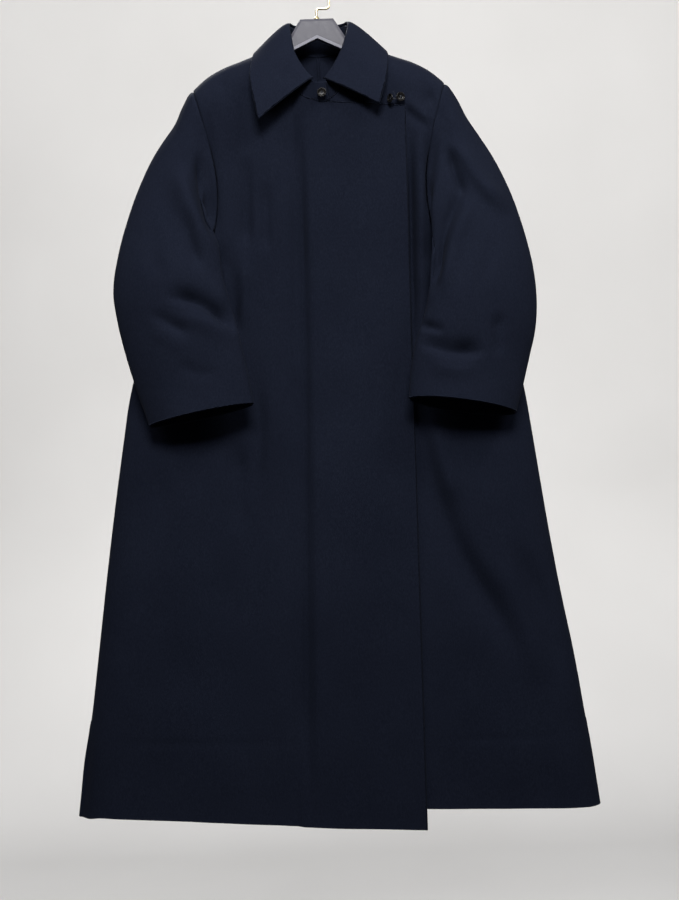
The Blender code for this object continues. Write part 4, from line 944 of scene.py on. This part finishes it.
def collar_piece(node, surface):
    """Makes the shell of the collar's leaf or stand."""
    rows, columns, first, second = COLLAR[node]
    grid, normals = middle_grid(node, COLLAR_CLOTH, rows, columns, furthest(first), furthest(second), None)
    keys = lengths(grid, 0), lengths(grid, 1)
    fine = finer(grid, *keys, COLLAR_SPACING)
    coarse = finer(normals, *keys, COLLAR_SPACING)
    normals = grid_normals(fine, coarse)
    if node == "collar_stand":
        from_seam, _ = edge_distance(fine, 1)
        down = unit(fine[:, :1] - fine[:, len(EDGE_ROWS) : len(EDGE_ROWS) + 1])
        fine = fine + STAND_REACH * down * (1.0 - ease(from_seam, 0.0, STAND_REACH_EASE))[..., None]
    cloth_piece(wool_shell(node + "_cloth", fine, normals, COLLAR_CLOTH, 0.0, surface), node)


def solid_mesh(name, vertices, faces):
    """A mesh whose faces point outwards."""
    mesh = bpy.data.meshes.new(name)
    mesh.from_pydata([tuple(map(float, v)) for v in vertices], [], faces)
    shape = bmesh.new()
    shape.from_mesh(mesh)
    bmesh.ops.recalc_face_normals(shape, faces=shape.faces)
    shape.to_mesh(mesh)
    shape.free()
    return mesh


def revolved(profile, sides):
    """Points and faces of a closed turned shape about the z axis, its ends on the axis."""
    vertices, rings, faces = [], [], []
    for radius, height in profile:
        count = sides if radius > 0.0 else 1
        rings.append([len(vertices) + k % count for k in range(sides + 1)])
        angles = [2 * math.pi * k / sides for k in range(count)]
        vertices += [(radius * math.cos(a), radius * math.sin(a), height) for a in angles]
    for low, high in zip(rings, rings[1:]):
        for k in range(sides):
            corners = [low[k], low[k + 1], high[k + 1], high[k]]
            faces.append([c for n, c in enumerate(corners) if c not in corners[:n]])
    return vertices, faces


def tube(path, radius, sides):
    """Points and faces of a round bar along a path, with domed ends."""
    path = np.array(path, float)
    run = unit(np.gradient(path, axis=0))
    reach = radius * np.sqrt(1 - WIRE_DOME[:, None] ** 2)
    before, after = path[0] - run[0] * reach[::-1], path[-1] + run[-1] * reach
    radii = radius * np.concatenate((WIRE_DOME[:0:-1], np.ones(len(path)), WIRE_DOME[1:]))
    path = np.concatenate((before[:-1], path, after[1:]))
    run = unit(np.gradient(path, axis=0))
    side = unit(np.cross(run[0], WIRE_ASIDE))
    rings = []
    for place, ahead, thick in zip(path, run, radii):
        side = unit(side - ahead * (side @ ahead))
        up = np.cross(ahead, side)
        turn = np.linspace(0.0, 2 * math.pi, sides, endpoint=False)[:, None]
        rings.append(place + thick * (np.cos(turn) * side + np.sin(turn) * up))
    vertices = np.concatenate(rings)
    faces = []
    for ring in range(len(rings) - 1):
        for k in range(sides):
            low, low_next = ring * sides + k, ring * sides + (k + 1) % sides
            faces.append((low, low_next, low_next + sides, low + sides))
    faces.append(tuple(range(sides)))
    faces.append(tuple(range(len(vertices) - sides, len(vertices))))
    return vertices, faces


def gathered(shapes):
    """Points and faces of several shapes as one."""
    vertices, faces = [], []
    for points, sides in shapes:
        start = len(vertices)
        vertices += [tuple(point) for point in points]
        faces += [[start + corner for corner in face] for face in sides]
    return vertices, faces


def filleted(corners, bend, steps):
    """A path in the xz plane through corners, each rounded by a bend."""
    corners = [np.array((x, 0.0, z)) for x, z in corners]
    path = [corners[0]]
    for before, here, after in zip(corners, corners[1:], corners[2:]):
        back, on = unit(before - here), unit(after - here)
        centre = here + bend * (back + on)
        for step in range(steps + 1):
            angle = 0.5 * math.pi * step / steps
            path.append(centre - bend * (math.cos(angle) * on + math.sin(angle) * back))
    path.append(corners[-1])
    return path


def horn_disc():
    """Mesh of a dished button with four holes, its back on z = 0."""
    disc = bpy.data.objects.new("disc", solid_mesh("disc", *revolved(BUTTON_PROFILE, BUTTON_SIDES)))
    drills = []
    for quarter in range(4):
        angle = math.pi * (0.25 + 0.5 * quarter)
        low, high = DRILL_REACH
        profile = ((0.0, low), (HOLE_RADIUS, low), (HOLE_RADIUS, high), (0.0, high))
        points, faces = revolved(profile, HOLE_SIDES)
        move = HOLE_DISTANCE * np.array((math.cos(angle), math.sin(angle), 0.0))
        drills.append((np.array(points) + move, faces))
    drill = bpy.data.objects.new("drill", solid_mesh("drill", *gathered(drills)))
    for thing in (disc, drill):
        bpy.context.scene.collection.objects.link(thing)
    cut = disc.modifiers.new("holes", "BOOLEAN")
    cut.operation = "DIFFERENCE"
    cut.solver = "EXACT"
    cut.object = drill
    graph = bpy.context.evaluated_depsgraph_get()
    mesh = bpy.data.meshes.new_from_object(disc.evaluated_get(graph))
    for thing in (disc, drill):
        bpy.data.objects.remove(thing)
    return mesh


def button_frame(node):
    """Turn and place of a button: its z axis out of the front, its origin at the middle of its back."""
    low, high = (np.array(corner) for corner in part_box(node))
    turn, _ = BUTTONS[node]
    a = math.radians(turn)
    out = np.array((math.sin(a), -math.cos(a), 0.0))
    across = np.array((math.cos(a), math.sin(a), 0.0))
    back = 0.5 * (low + high) - 0.5 * BUTTON_THICKNESS * out
    return np.stack((across, (0.0, 0.0, 1.0), out)), back


def shank_paths(behind):
    """Paths of the thread wound behind a button, and of the shank's core."""
    turns = max(2, round(behind / SHANK_TURN_RISE))
    steps = turns * SHANK_TURN_STEPS
    wound = []
    for step in range(steps + 1):
        a = 2 * math.pi * step / SHANK_TURN_STEPS
        wide = SHANK_RADIUS * (1.0 + SHANK_WAIST * (2 * step / steps - 1) ** 2)
        wound.append((wide * math.cos(a), wide * math.sin(a), SHANK_START - behind * step / steps))
    return wound, [(0.0, 0.0, height) for height in np.linspace(CORE_START, -behind, CORE_POINTS)]


def button_pieces(horn, thread):
    """The three horn buttons, the threads that hold them and the link between the pair at the corner."""
    disc = horn_disc()
    hole = HOLE_DISTANCE * math.sqrt(0.5)
    dish = BUTTON_PROFILE[0][1]
    shapes = []
    for node, (_, behind) in BUTTONS.items():
        axes, back = button_frame(node)
        mesh = disc.copy()
        mesh.transform(Matrix.Translation(back) @ Matrix(axes.T.tolist()).to_4x4())
        coat_piece(finished(node + "_horn", mesh, horn, HORN_SHARP), node)
        threads = []
        for row in (-1, 1):
            for strand in range(THREAD_STRANDS):
                off = (strand - 0.5 * (THREAD_STRANDS - 1)) * STRAND_SPACING
                bar = [(t * hole, row * hole + off, dish + BAR_RISE - BAR_DIP * t**4) for t in BAR_SHARES]
                threads.append((bar, THREAD_RADIUS, THREAD_SIDES))
        wound, core = shank_paths(behind)
        threads += [(wound, THREAD_RADIUS, THREAD_SIDES), (core, SHANK_RADIUS, 2 * THREAD_SIDES)]
        shapes += [tube(np.array(line) @ axes + back, radius, sides) for line, radius, sides in threads]
    shapes += link_threads()
    mesh = solid_mesh("button_threads", *gathered(shapes))
    coat_part(finished("button_threads", mesh, thread))


def link_threads():
    """Strands between the two corner buttons, and the loose end that stands up beside them."""
    ends = []
    for node in ("button_wrap_inner", "button_wrap_outer"):
        axes, back = button_frame(node)
        ends.append(back - LINK_BEHIND * axes[2])
    first, last = ends
    paths = []
    for strand in range(LINK_STRANDS):
        turn = 2 * math.pi * strand / LINK_STRANDS
        path = []
        for t in LINK_SHARES:
            a = turn + LINK_TWIST * t
            twist = LINK_TWIST_RADIUS * np.array((0.0, math.cos(a), math.sin(a)))
            sag = np.array((0.0, 0.0, LINK_SAG * 4 * t * (1 - t)))
            path.append(first + (last - first) * t + twist - sag)
        paths.append(path)
    start = first + LOOSE_START * (last - first)
    loose = [np.array((LOOSE_BEND * t * t, LOOSE_LEAN * t, t)) for t in LOOSE_SHARES]
    paths.append([start + LOOSE_RISE * off for off in loose])
    return [tube(path, THREAD_RADIUS, THREAD_SIDES) for path in paths]


def hanger_pieces(paint, metal):
    """The flat shaped hanger with rounded edges, its ferrule and its bent wire hook."""
    outline = [*HANGER_OUTLINE, *((-x, z) for x, z in reversed(HANGER_OUTLINE[:-1]))]
    shape = bmesh.new()
    half = HANGER_HALF_THICKNESS - HANGER_CHAMFER_DEPTH
    ahead = [shape.verts.new((x, -half, z)) for x, z in outline]
    behind = [shape.verts.new((x, half, z)) for x, z in outline]
    flats = [shape.faces.new(ahead), shape.faces.new(behind[::-1])]
    for k in range(len(outline)):
        n = (k + 1) % len(outline)
        shape.faces.new((ahead[k], behind[k], behind[n], ahead[n]))
    bmesh.ops.recalc_face_normals(shape, faces=shape.faces)
    edges = list(shape.edges)
    for flat in flats:
        bmesh.ops.inset_region(shape, faces=[flat], thickness=HANGER_CHAMFER, depth=HANGER_CHAMFER_DEPTH,
                               use_even_offset=True)
    bmesh.ops.bevel(shape, geom=edges, offset=HANGER_EDGE, segments=2, profile=0.5, affect="EDGES")
    bmesh.ops.triangulate(shape, faces=[f for f in shape.faces if len(f.verts) > 4], ngon_method="EAR_CLIP")
    bmesh.ops.recalc_face_normals(shape, faces=shape.faces)
    mesh = bpy.data.meshes.new("hanger_block")
    shape.to_mesh(mesh)
    # Down-facing faces are marked for the painted highlight, a paler colour that stands in for light from
    # below
    lower = [1.0 if face.normal.z < HANGER_PAINTED_HIGHLIGHT_BELOW else 0.0 for face in shape.faces]
    shape.free()
    mesh.attributes.new("lower_faces_painted_highlight", "FLOAT", "FACE").data.foreach_set("value", lower)
    coat_piece(finished("hanger_block", mesh, paint, HANGER_SHARP), "hanger_body")
    mesh = solid_mesh("hanger_ferrule_turned", *revolved(FERRULE_PROFILE, FERRULE_SIDES))
    coat_piece(finished("hanger_ferrule_turned", mesh, metal, FERRULE_SHARP), "hanger_ferrule")
    path = close_line(np.array(filleted(HOOK_PATH, HOOK_BEND, HOOK_BEND_STEPS)), HOOK_BEND / HOOK_BEND_STEPS)
    mesh = solid_mesh("hanger_hook_wire", *tube(path, WIRE_RADIUS, WIRE_SIDES))
    coat_piece(finished("hanger_hook_wire", mesh, metal), "hanger_hook")


def linked(tree, *pairs):
    """Links nodes, each by an output's name to an input's name or number."""
    for source, result, target, entry in pairs:
        tree.links.new(source.outputs[result], target.inputs[entry])


def stitch_tree():
    """Nodes that lay stitches across the lines of a mesh, square to them as its attribute across says."""
    tree = bpy.data.node_groups.new("stitches", "GeometryNodeTree")
    face = tree.interface
    face.new_socket("Lines", in_out="INPUT", socket_type="NodeSocketGeometry")
    for name in ("Spacing", "Stitch Length", "Stitch Thickness"):
        face.new_socket(name, in_out="INPUT", socket_type="NodeSocketFloat")
    face.new_socket("Thread", in_out="INPUT", socket_type="NodeSocketMaterial")
    face.new_socket("Stitches", in_out="OUTPUT", socket_type="NodeSocketGeometry")
    nodes = tree.nodes
    given, out = nodes.new("NodeGroupInput"), nodes.new("NodeGroupOutput")
    line = nodes.new("GeometryNodeMeshToCurve")
    spaced = nodes.new("GeometryNodeResampleCurve")
    spaced.mode = "LENGTH"
    stitch = nodes.new("GeometryNodeMeshUVSphere")
    stitch.inputs["Segments"].default_value = STITCH_SIDES
    stitch.inputs["Rings"].default_value = STITCH_RINGS
    stitch.inputs["Radius"].default_value = 0.5
    across = nodes.new("GeometryNodeInputNamedAttribute")
    across.data_type = "FLOAT_VECTOR"
    across.inputs["Name"].default_value = "across"
    turn = nodes.new("FunctionNodeAlignRotationToVector")
    turn.axis = "X"
    size = nodes.new("ShaderNodeCombineXYZ")
    placed = nodes.new("GeometryNodeInstanceOnPoints")
    real = nodes.new("GeometryNodeRealizeInstances")
    thread = nodes.new("GeometryNodeSetMaterial")
    linked(
        tree,
        (given, "Lines", line, "Mesh"),
        (line, "Curve", spaced, "Curve"),
        (given, "Spacing", spaced, "Length"),
        (spaced, "Curve", placed, "Points"),
        (stitch, "Mesh", placed, "Instance"),
        (across, "Attribute", turn, "Vector"),
        (turn, "Rotation", placed, "Rotation"),
        (given, "Stitch Length", size, "X"),
        (given, "Stitch Thickness", size, "Y"),
        (given, "Stitch Thickness", size, "Z"),
        (size, "Vector", placed, "Scale"),
        (placed, "Instances", real, "Geometry"),
        (real, "Geometry", thread, "Geometry"),
        (given, "Thread", thread, "Material"),
        (thread, "Geometry", out, "Stitches"),
    )
    return tree


def sewn_tacks(side_lines, thread):
    """Bar tacks over the side seams, at both ends of the pocket mouths and at the tops of the slits."""
    vertices, edges = [], []
    for side, line in side_lines.items():
        for height in (POCKET_TOP, POCKET_FOOT, SLIT_TOP[side]):
            for point in range(TACK_POINTS):
                z = height + TACK_HEIGHT * (point / (TACK_POINTS - 1) - 0.5)
                if point > 0:
                    edges.append((len(vertices) - 1, len(vertices)))
                vertices.append([np.interp(z, line[:, 2], line[:, axis]) for axis in range(3)])
    mesh = bpy.data.meshes.new("tack_lines")
    mesh.from_pydata(vertices, edges, [])
    across = mesh.attributes.new("across", "FLOAT_VECTOR", "POINT")
    across.data.foreach_set("vector", (0.0, 1.0, 0.0) * len(vertices))
    carrier = bpy.data.objects.new("tack_lines", mesh)
    bpy.context.scene.collection.objects.link(carrier)
    tree = stitch_tree()
    sewing = carrier.modifiers.new("stitches", "NODES")
    sewing.node_group = tree
    settings = {"Spacing": TACK_SPACING, "Stitch Length": TACK_LENGTH, "Stitch Thickness": TACK_THICKNESS,
                "Thread": thread}
    for item in tree.interface.items_tree:
        if item.in_out == "INPUT" and item.name in settings:
            sewing[item.identifier] = settings[item.name]
    graph = bpy.context.evaluated_depsgraph_get()
    made = bpy.data.meshes.new_from_object(carrier.evaluated_get(graph))
    bpy.data.objects.remove(carrier)
    made.name = "seam_tacks"
    coat_part(finished("seam_tacks", made, thread))


def noise(tree, scale, detail, stretch=None):
    """Noise on the object's own coordinates, stretched along an axis if asked."""
    place = tree.nodes.new("ShaderNodeTexCoord")
    made = tree.nodes.new("ShaderNodeTexNoise")
    made.inputs["Scale"].default_value = scale
    made.inputs["Detail"].default_value = detail
    source = place.outputs["Object"]
    if stretch:
        mapping = tree.nodes.new("ShaderNodeMapping")
        mapping.inputs["Scale"].default_value = stretch
        tree.links.new(source, mapping.inputs["Vector"])
        source = mapping.outputs["Vector"]
    tree.links.new(source, made.inputs["Vector"])
    return made.outputs["Fac"]


def ramp(tree, value, *stops):
    """Colour of a value between stops, each a position and a colour."""
    made = tree.nodes.new("ShaderNodeValToRGB")
    elements = made.color_ramp.elements
    while len(elements) < len(stops):
        elements.new(0.5)
    for element, (position, colour) in zip(elements, stops):
        element.position = position
        element.color = (*colour, 1.0)
    tree.links.new(value, made.inputs["Fac"])
    return made.outputs["Color"]


def mixed(tree, kind, share, one, two):
    """Two colours mixed in one way by a share."""
    made = tree.nodes.new("ShaderNodeMix")
    made.data_type = "RGBA"
    made.blend_type = kind
    for socket, value in ((made.inputs["Factor"], share), (made.inputs["A"], one), (made.inputs["B"], two)):
        if isinstance(value, bpy.types.NodeSocket):
            tree.links.new(value, socket)
        else:
            socket.default_value = value if isinstance(value, float) else (*value, 1.0)
    return made.outputs["Result"]


def spread(tree, value, *limits):
    """A value carried from one range to another."""
    made = tree.nodes.new("ShaderNodeMapRange")
    for name, limit in zip(("From Min", "From Max", "To Min", "To Max"), limits):
        made.inputs[name].default_value = limit
    tree.links.new(value, made.inputs["Value"])
    return made.outputs["Result"]


def material(name):
    """A Principled material built from its table.

    A noise has scale, detail and stretch. A tone has a noise and stops, and tones are multiplied. Roughness
    has a noise, its range and the range that it gives. A bump has a noise, a strength and a depth.
    """
    look = MATERIALS[name]
    made = bpy.data.materials.new(name)
    made.use_nodes = True
    tree = made.node_tree
    shader = tree.nodes["Principled BSDF"]
    noises = {key: noise(tree, *values) for key, values in look["noises"].items()}
    tone, *others = [ramp(tree, noises[key], *stops) for key, *stops in look["tones"]]
    for other in others:
        tone = mixed(tree, "MULTIPLY", 1.0, tone, other)
    # Painted highlight: a paler colour mixed in where the attribute marks faces
    if "painted_highlight" in look:
        attribute, colour = look["painted_highlight"]
        where = tree.nodes.new("ShaderNodeAttribute")
        where.attribute_name = attribute
        tone = mixed(tree, "MIX", where.outputs["Fac"], tone, colour)
    tree.links.new(tone, shader.inputs["Base Color"])
    if "roughness" in look:
        key, *limits = look["roughness"]
        tree.links.new(spread(tree, noises[key], *limits), shader.inputs["Roughness"])
    normal = None
    for key, strength, depth in look.get("bumps", ()):
        bump = tree.nodes.new("ShaderNodeBump")
        bump.inputs["Strength"].default_value = strength
        bump.inputs["Distance"].default_value = depth
        tree.links.new(noises[key], bump.inputs["Height"])
        if normal is not None:
            tree.links.new(normal, bump.inputs["Normal"])
        normal = bump.outputs["Normal"]
        tree.links.new(normal, shader.inputs["Normal"])
    for socket, value in look.get("constants", {}).items():
        shader.inputs[socket].default_value = value
    return made


def camera():
    """The camera, turned by the photograph's small roll."""
    lens = bpy.data.cameras.new("camera")
    lens.lens = CAMERA_LENS
    lens.sensor_width = SENSOR
    lens.clip_start, lens.clip_end = CAMERA_CLIP
    eye = bpy.data.objects.new("camera", lens)
    c, s = math.cos(CAMERA_ROLL), math.sin(CAMERA_ROLL)
    right, up, back = Vector((c, 0, -s)), Vector((s, 0, c)), Vector((0, -1, 0))
    turn = Matrix((right, up, back)).transposed().to_4x4()
    eye.matrix_world = Matrix.Translation(CAMERA_PLACE) @ turn
    bpy.context.scene.collection.objects.link(eye)
    bpy.context.scene.camera = eye


def stage():
    """Pale floor well below the hem, curving up into a wall far behind, and a light for it alone."""
    profile = [(FLOOR_FRONT, FLOOR_HEIGHT), (WALL_PLACE - WALL_BEND, FLOOR_HEIGHT)]
    for step in range(1, WALL_STEPS + 1):
        a = 0.5 * math.pi * step / WALL_STEPS
        lift = WALL_BEND * (1 - math.cos(a))
        profile.append((WALL_PLACE - WALL_BEND + WALL_BEND * math.sin(a), FLOOR_HEIGHT + lift))
    profile.append((WALL_PLACE, WALL_TOP))
    vertices = [(x, y, z) for y, z in profile for x in (-STAGE_HALF_WIDTH, STAGE_HALF_WIDTH)]
    faces = [(2 * k, 2 * k + 1, 2 * k + 3, 2 * k + 2) for k in range(len(profile) - 1)]
    mesh = bpy.data.meshes.new("floor")
    mesh.from_pydata(vertices, [], faces)
    floor = finished("floor", mesh, material("pale_paper"))
    floor.visible_diffuse = False
    alone = bpy.data.collections.new("stage_alone")
    alone.objects.link(floor)
    area_light("above_stage", *STAGE_LIGHT).light_linking.receiver_collection = alone


def area_light(name, place, aim, size, power, spread):
    """A soft rectangular light."""
    lamp = bpy.data.lights.new(name, "AREA")
    lamp.shape = "RECTANGLE"
    lamp.size, lamp.size_y = size
    lamp.energy = power
    lamp.spread = math.radians(spread)
    thing = bpy.data.objects.new(name, lamp)
    thing.location = place
    thing.rotation_mode = "QUATERNION"
    thing.rotation_quaternion = (Vector(aim) - Vector(place)).to_track_quat("-Z", "Y")
    bpy.context.scene.collection.objects.link(thing)
    return thing


def lighting():
    """Soft light from above and before, pale surroundings that light the coat only a little."""
    world = bpy.data.worlds.new("surroundings")
    bpy.context.scene.world = world
    world.use_nodes = True
    tree = world.node_tree
    nodes = tree.nodes
    seen = nodes["Background"]
    seen.inputs["Color"].default_value = (*SURROUND_SEEN, 1.0)
    fill = nodes.new("ShaderNodeBackground")
    place = nodes.new("ShaderNodeTexCoord")
    upright = nodes.new("ShaderNodeSeparateXYZ")
    height = spread(tree, upright.outputs["Z"], -1.0, 1.0, 0.0, 1.0)
    tree.links.new(ramp(tree, height, *FILL_FROM_BELOW_UP), fill.inputs["Color"])
    rays = nodes.new("ShaderNodeLightPath")
    either = nodes.new("ShaderNodeMixShader")
    linked(
        tree,
        (place, "Generated", upright, "Vector"),
        (rays, "Is Camera Ray", either, "Fac"),
        (fill, "Background", either, 1),
        (seen, "Background", either, 2),
        (either, "Shader", nodes["World Output"], "Surface"),
    )
    for name, setting in LIGHTS.items():
        area_light(name, *setting)
    bpy.context.scene.view_settings.view_transform = "Standard"


camera()
stage()
lighting()
wool = material("navy_wool")
armhole_lines = {"right": [], "left": []}
side_lines = {}
for panel in PANELS:
    armhole_line, side_line = body_panel(panel, wool)
    panel_kind, panel_side = panel.split("_")
    armhole_lines[panel_side].append(armhole_line)
    if panel_kind == "front":
        side_lines[panel_side] = side_line
for sleeve_side in ("right", "left"):
    sleeve_pieces(sleeve_side, armhole_lines[sleeve_side], wool)
for collar_node in COLLAR:
    collar_piece(collar_node, wool)
dark_thread = material("sewing_thread")
button_pieces(material("dark_horn"), dark_thread)
sewn_tacks(side_lines, dark_thread)
hanger_pieces(material("grey_paint"), material("brass"))
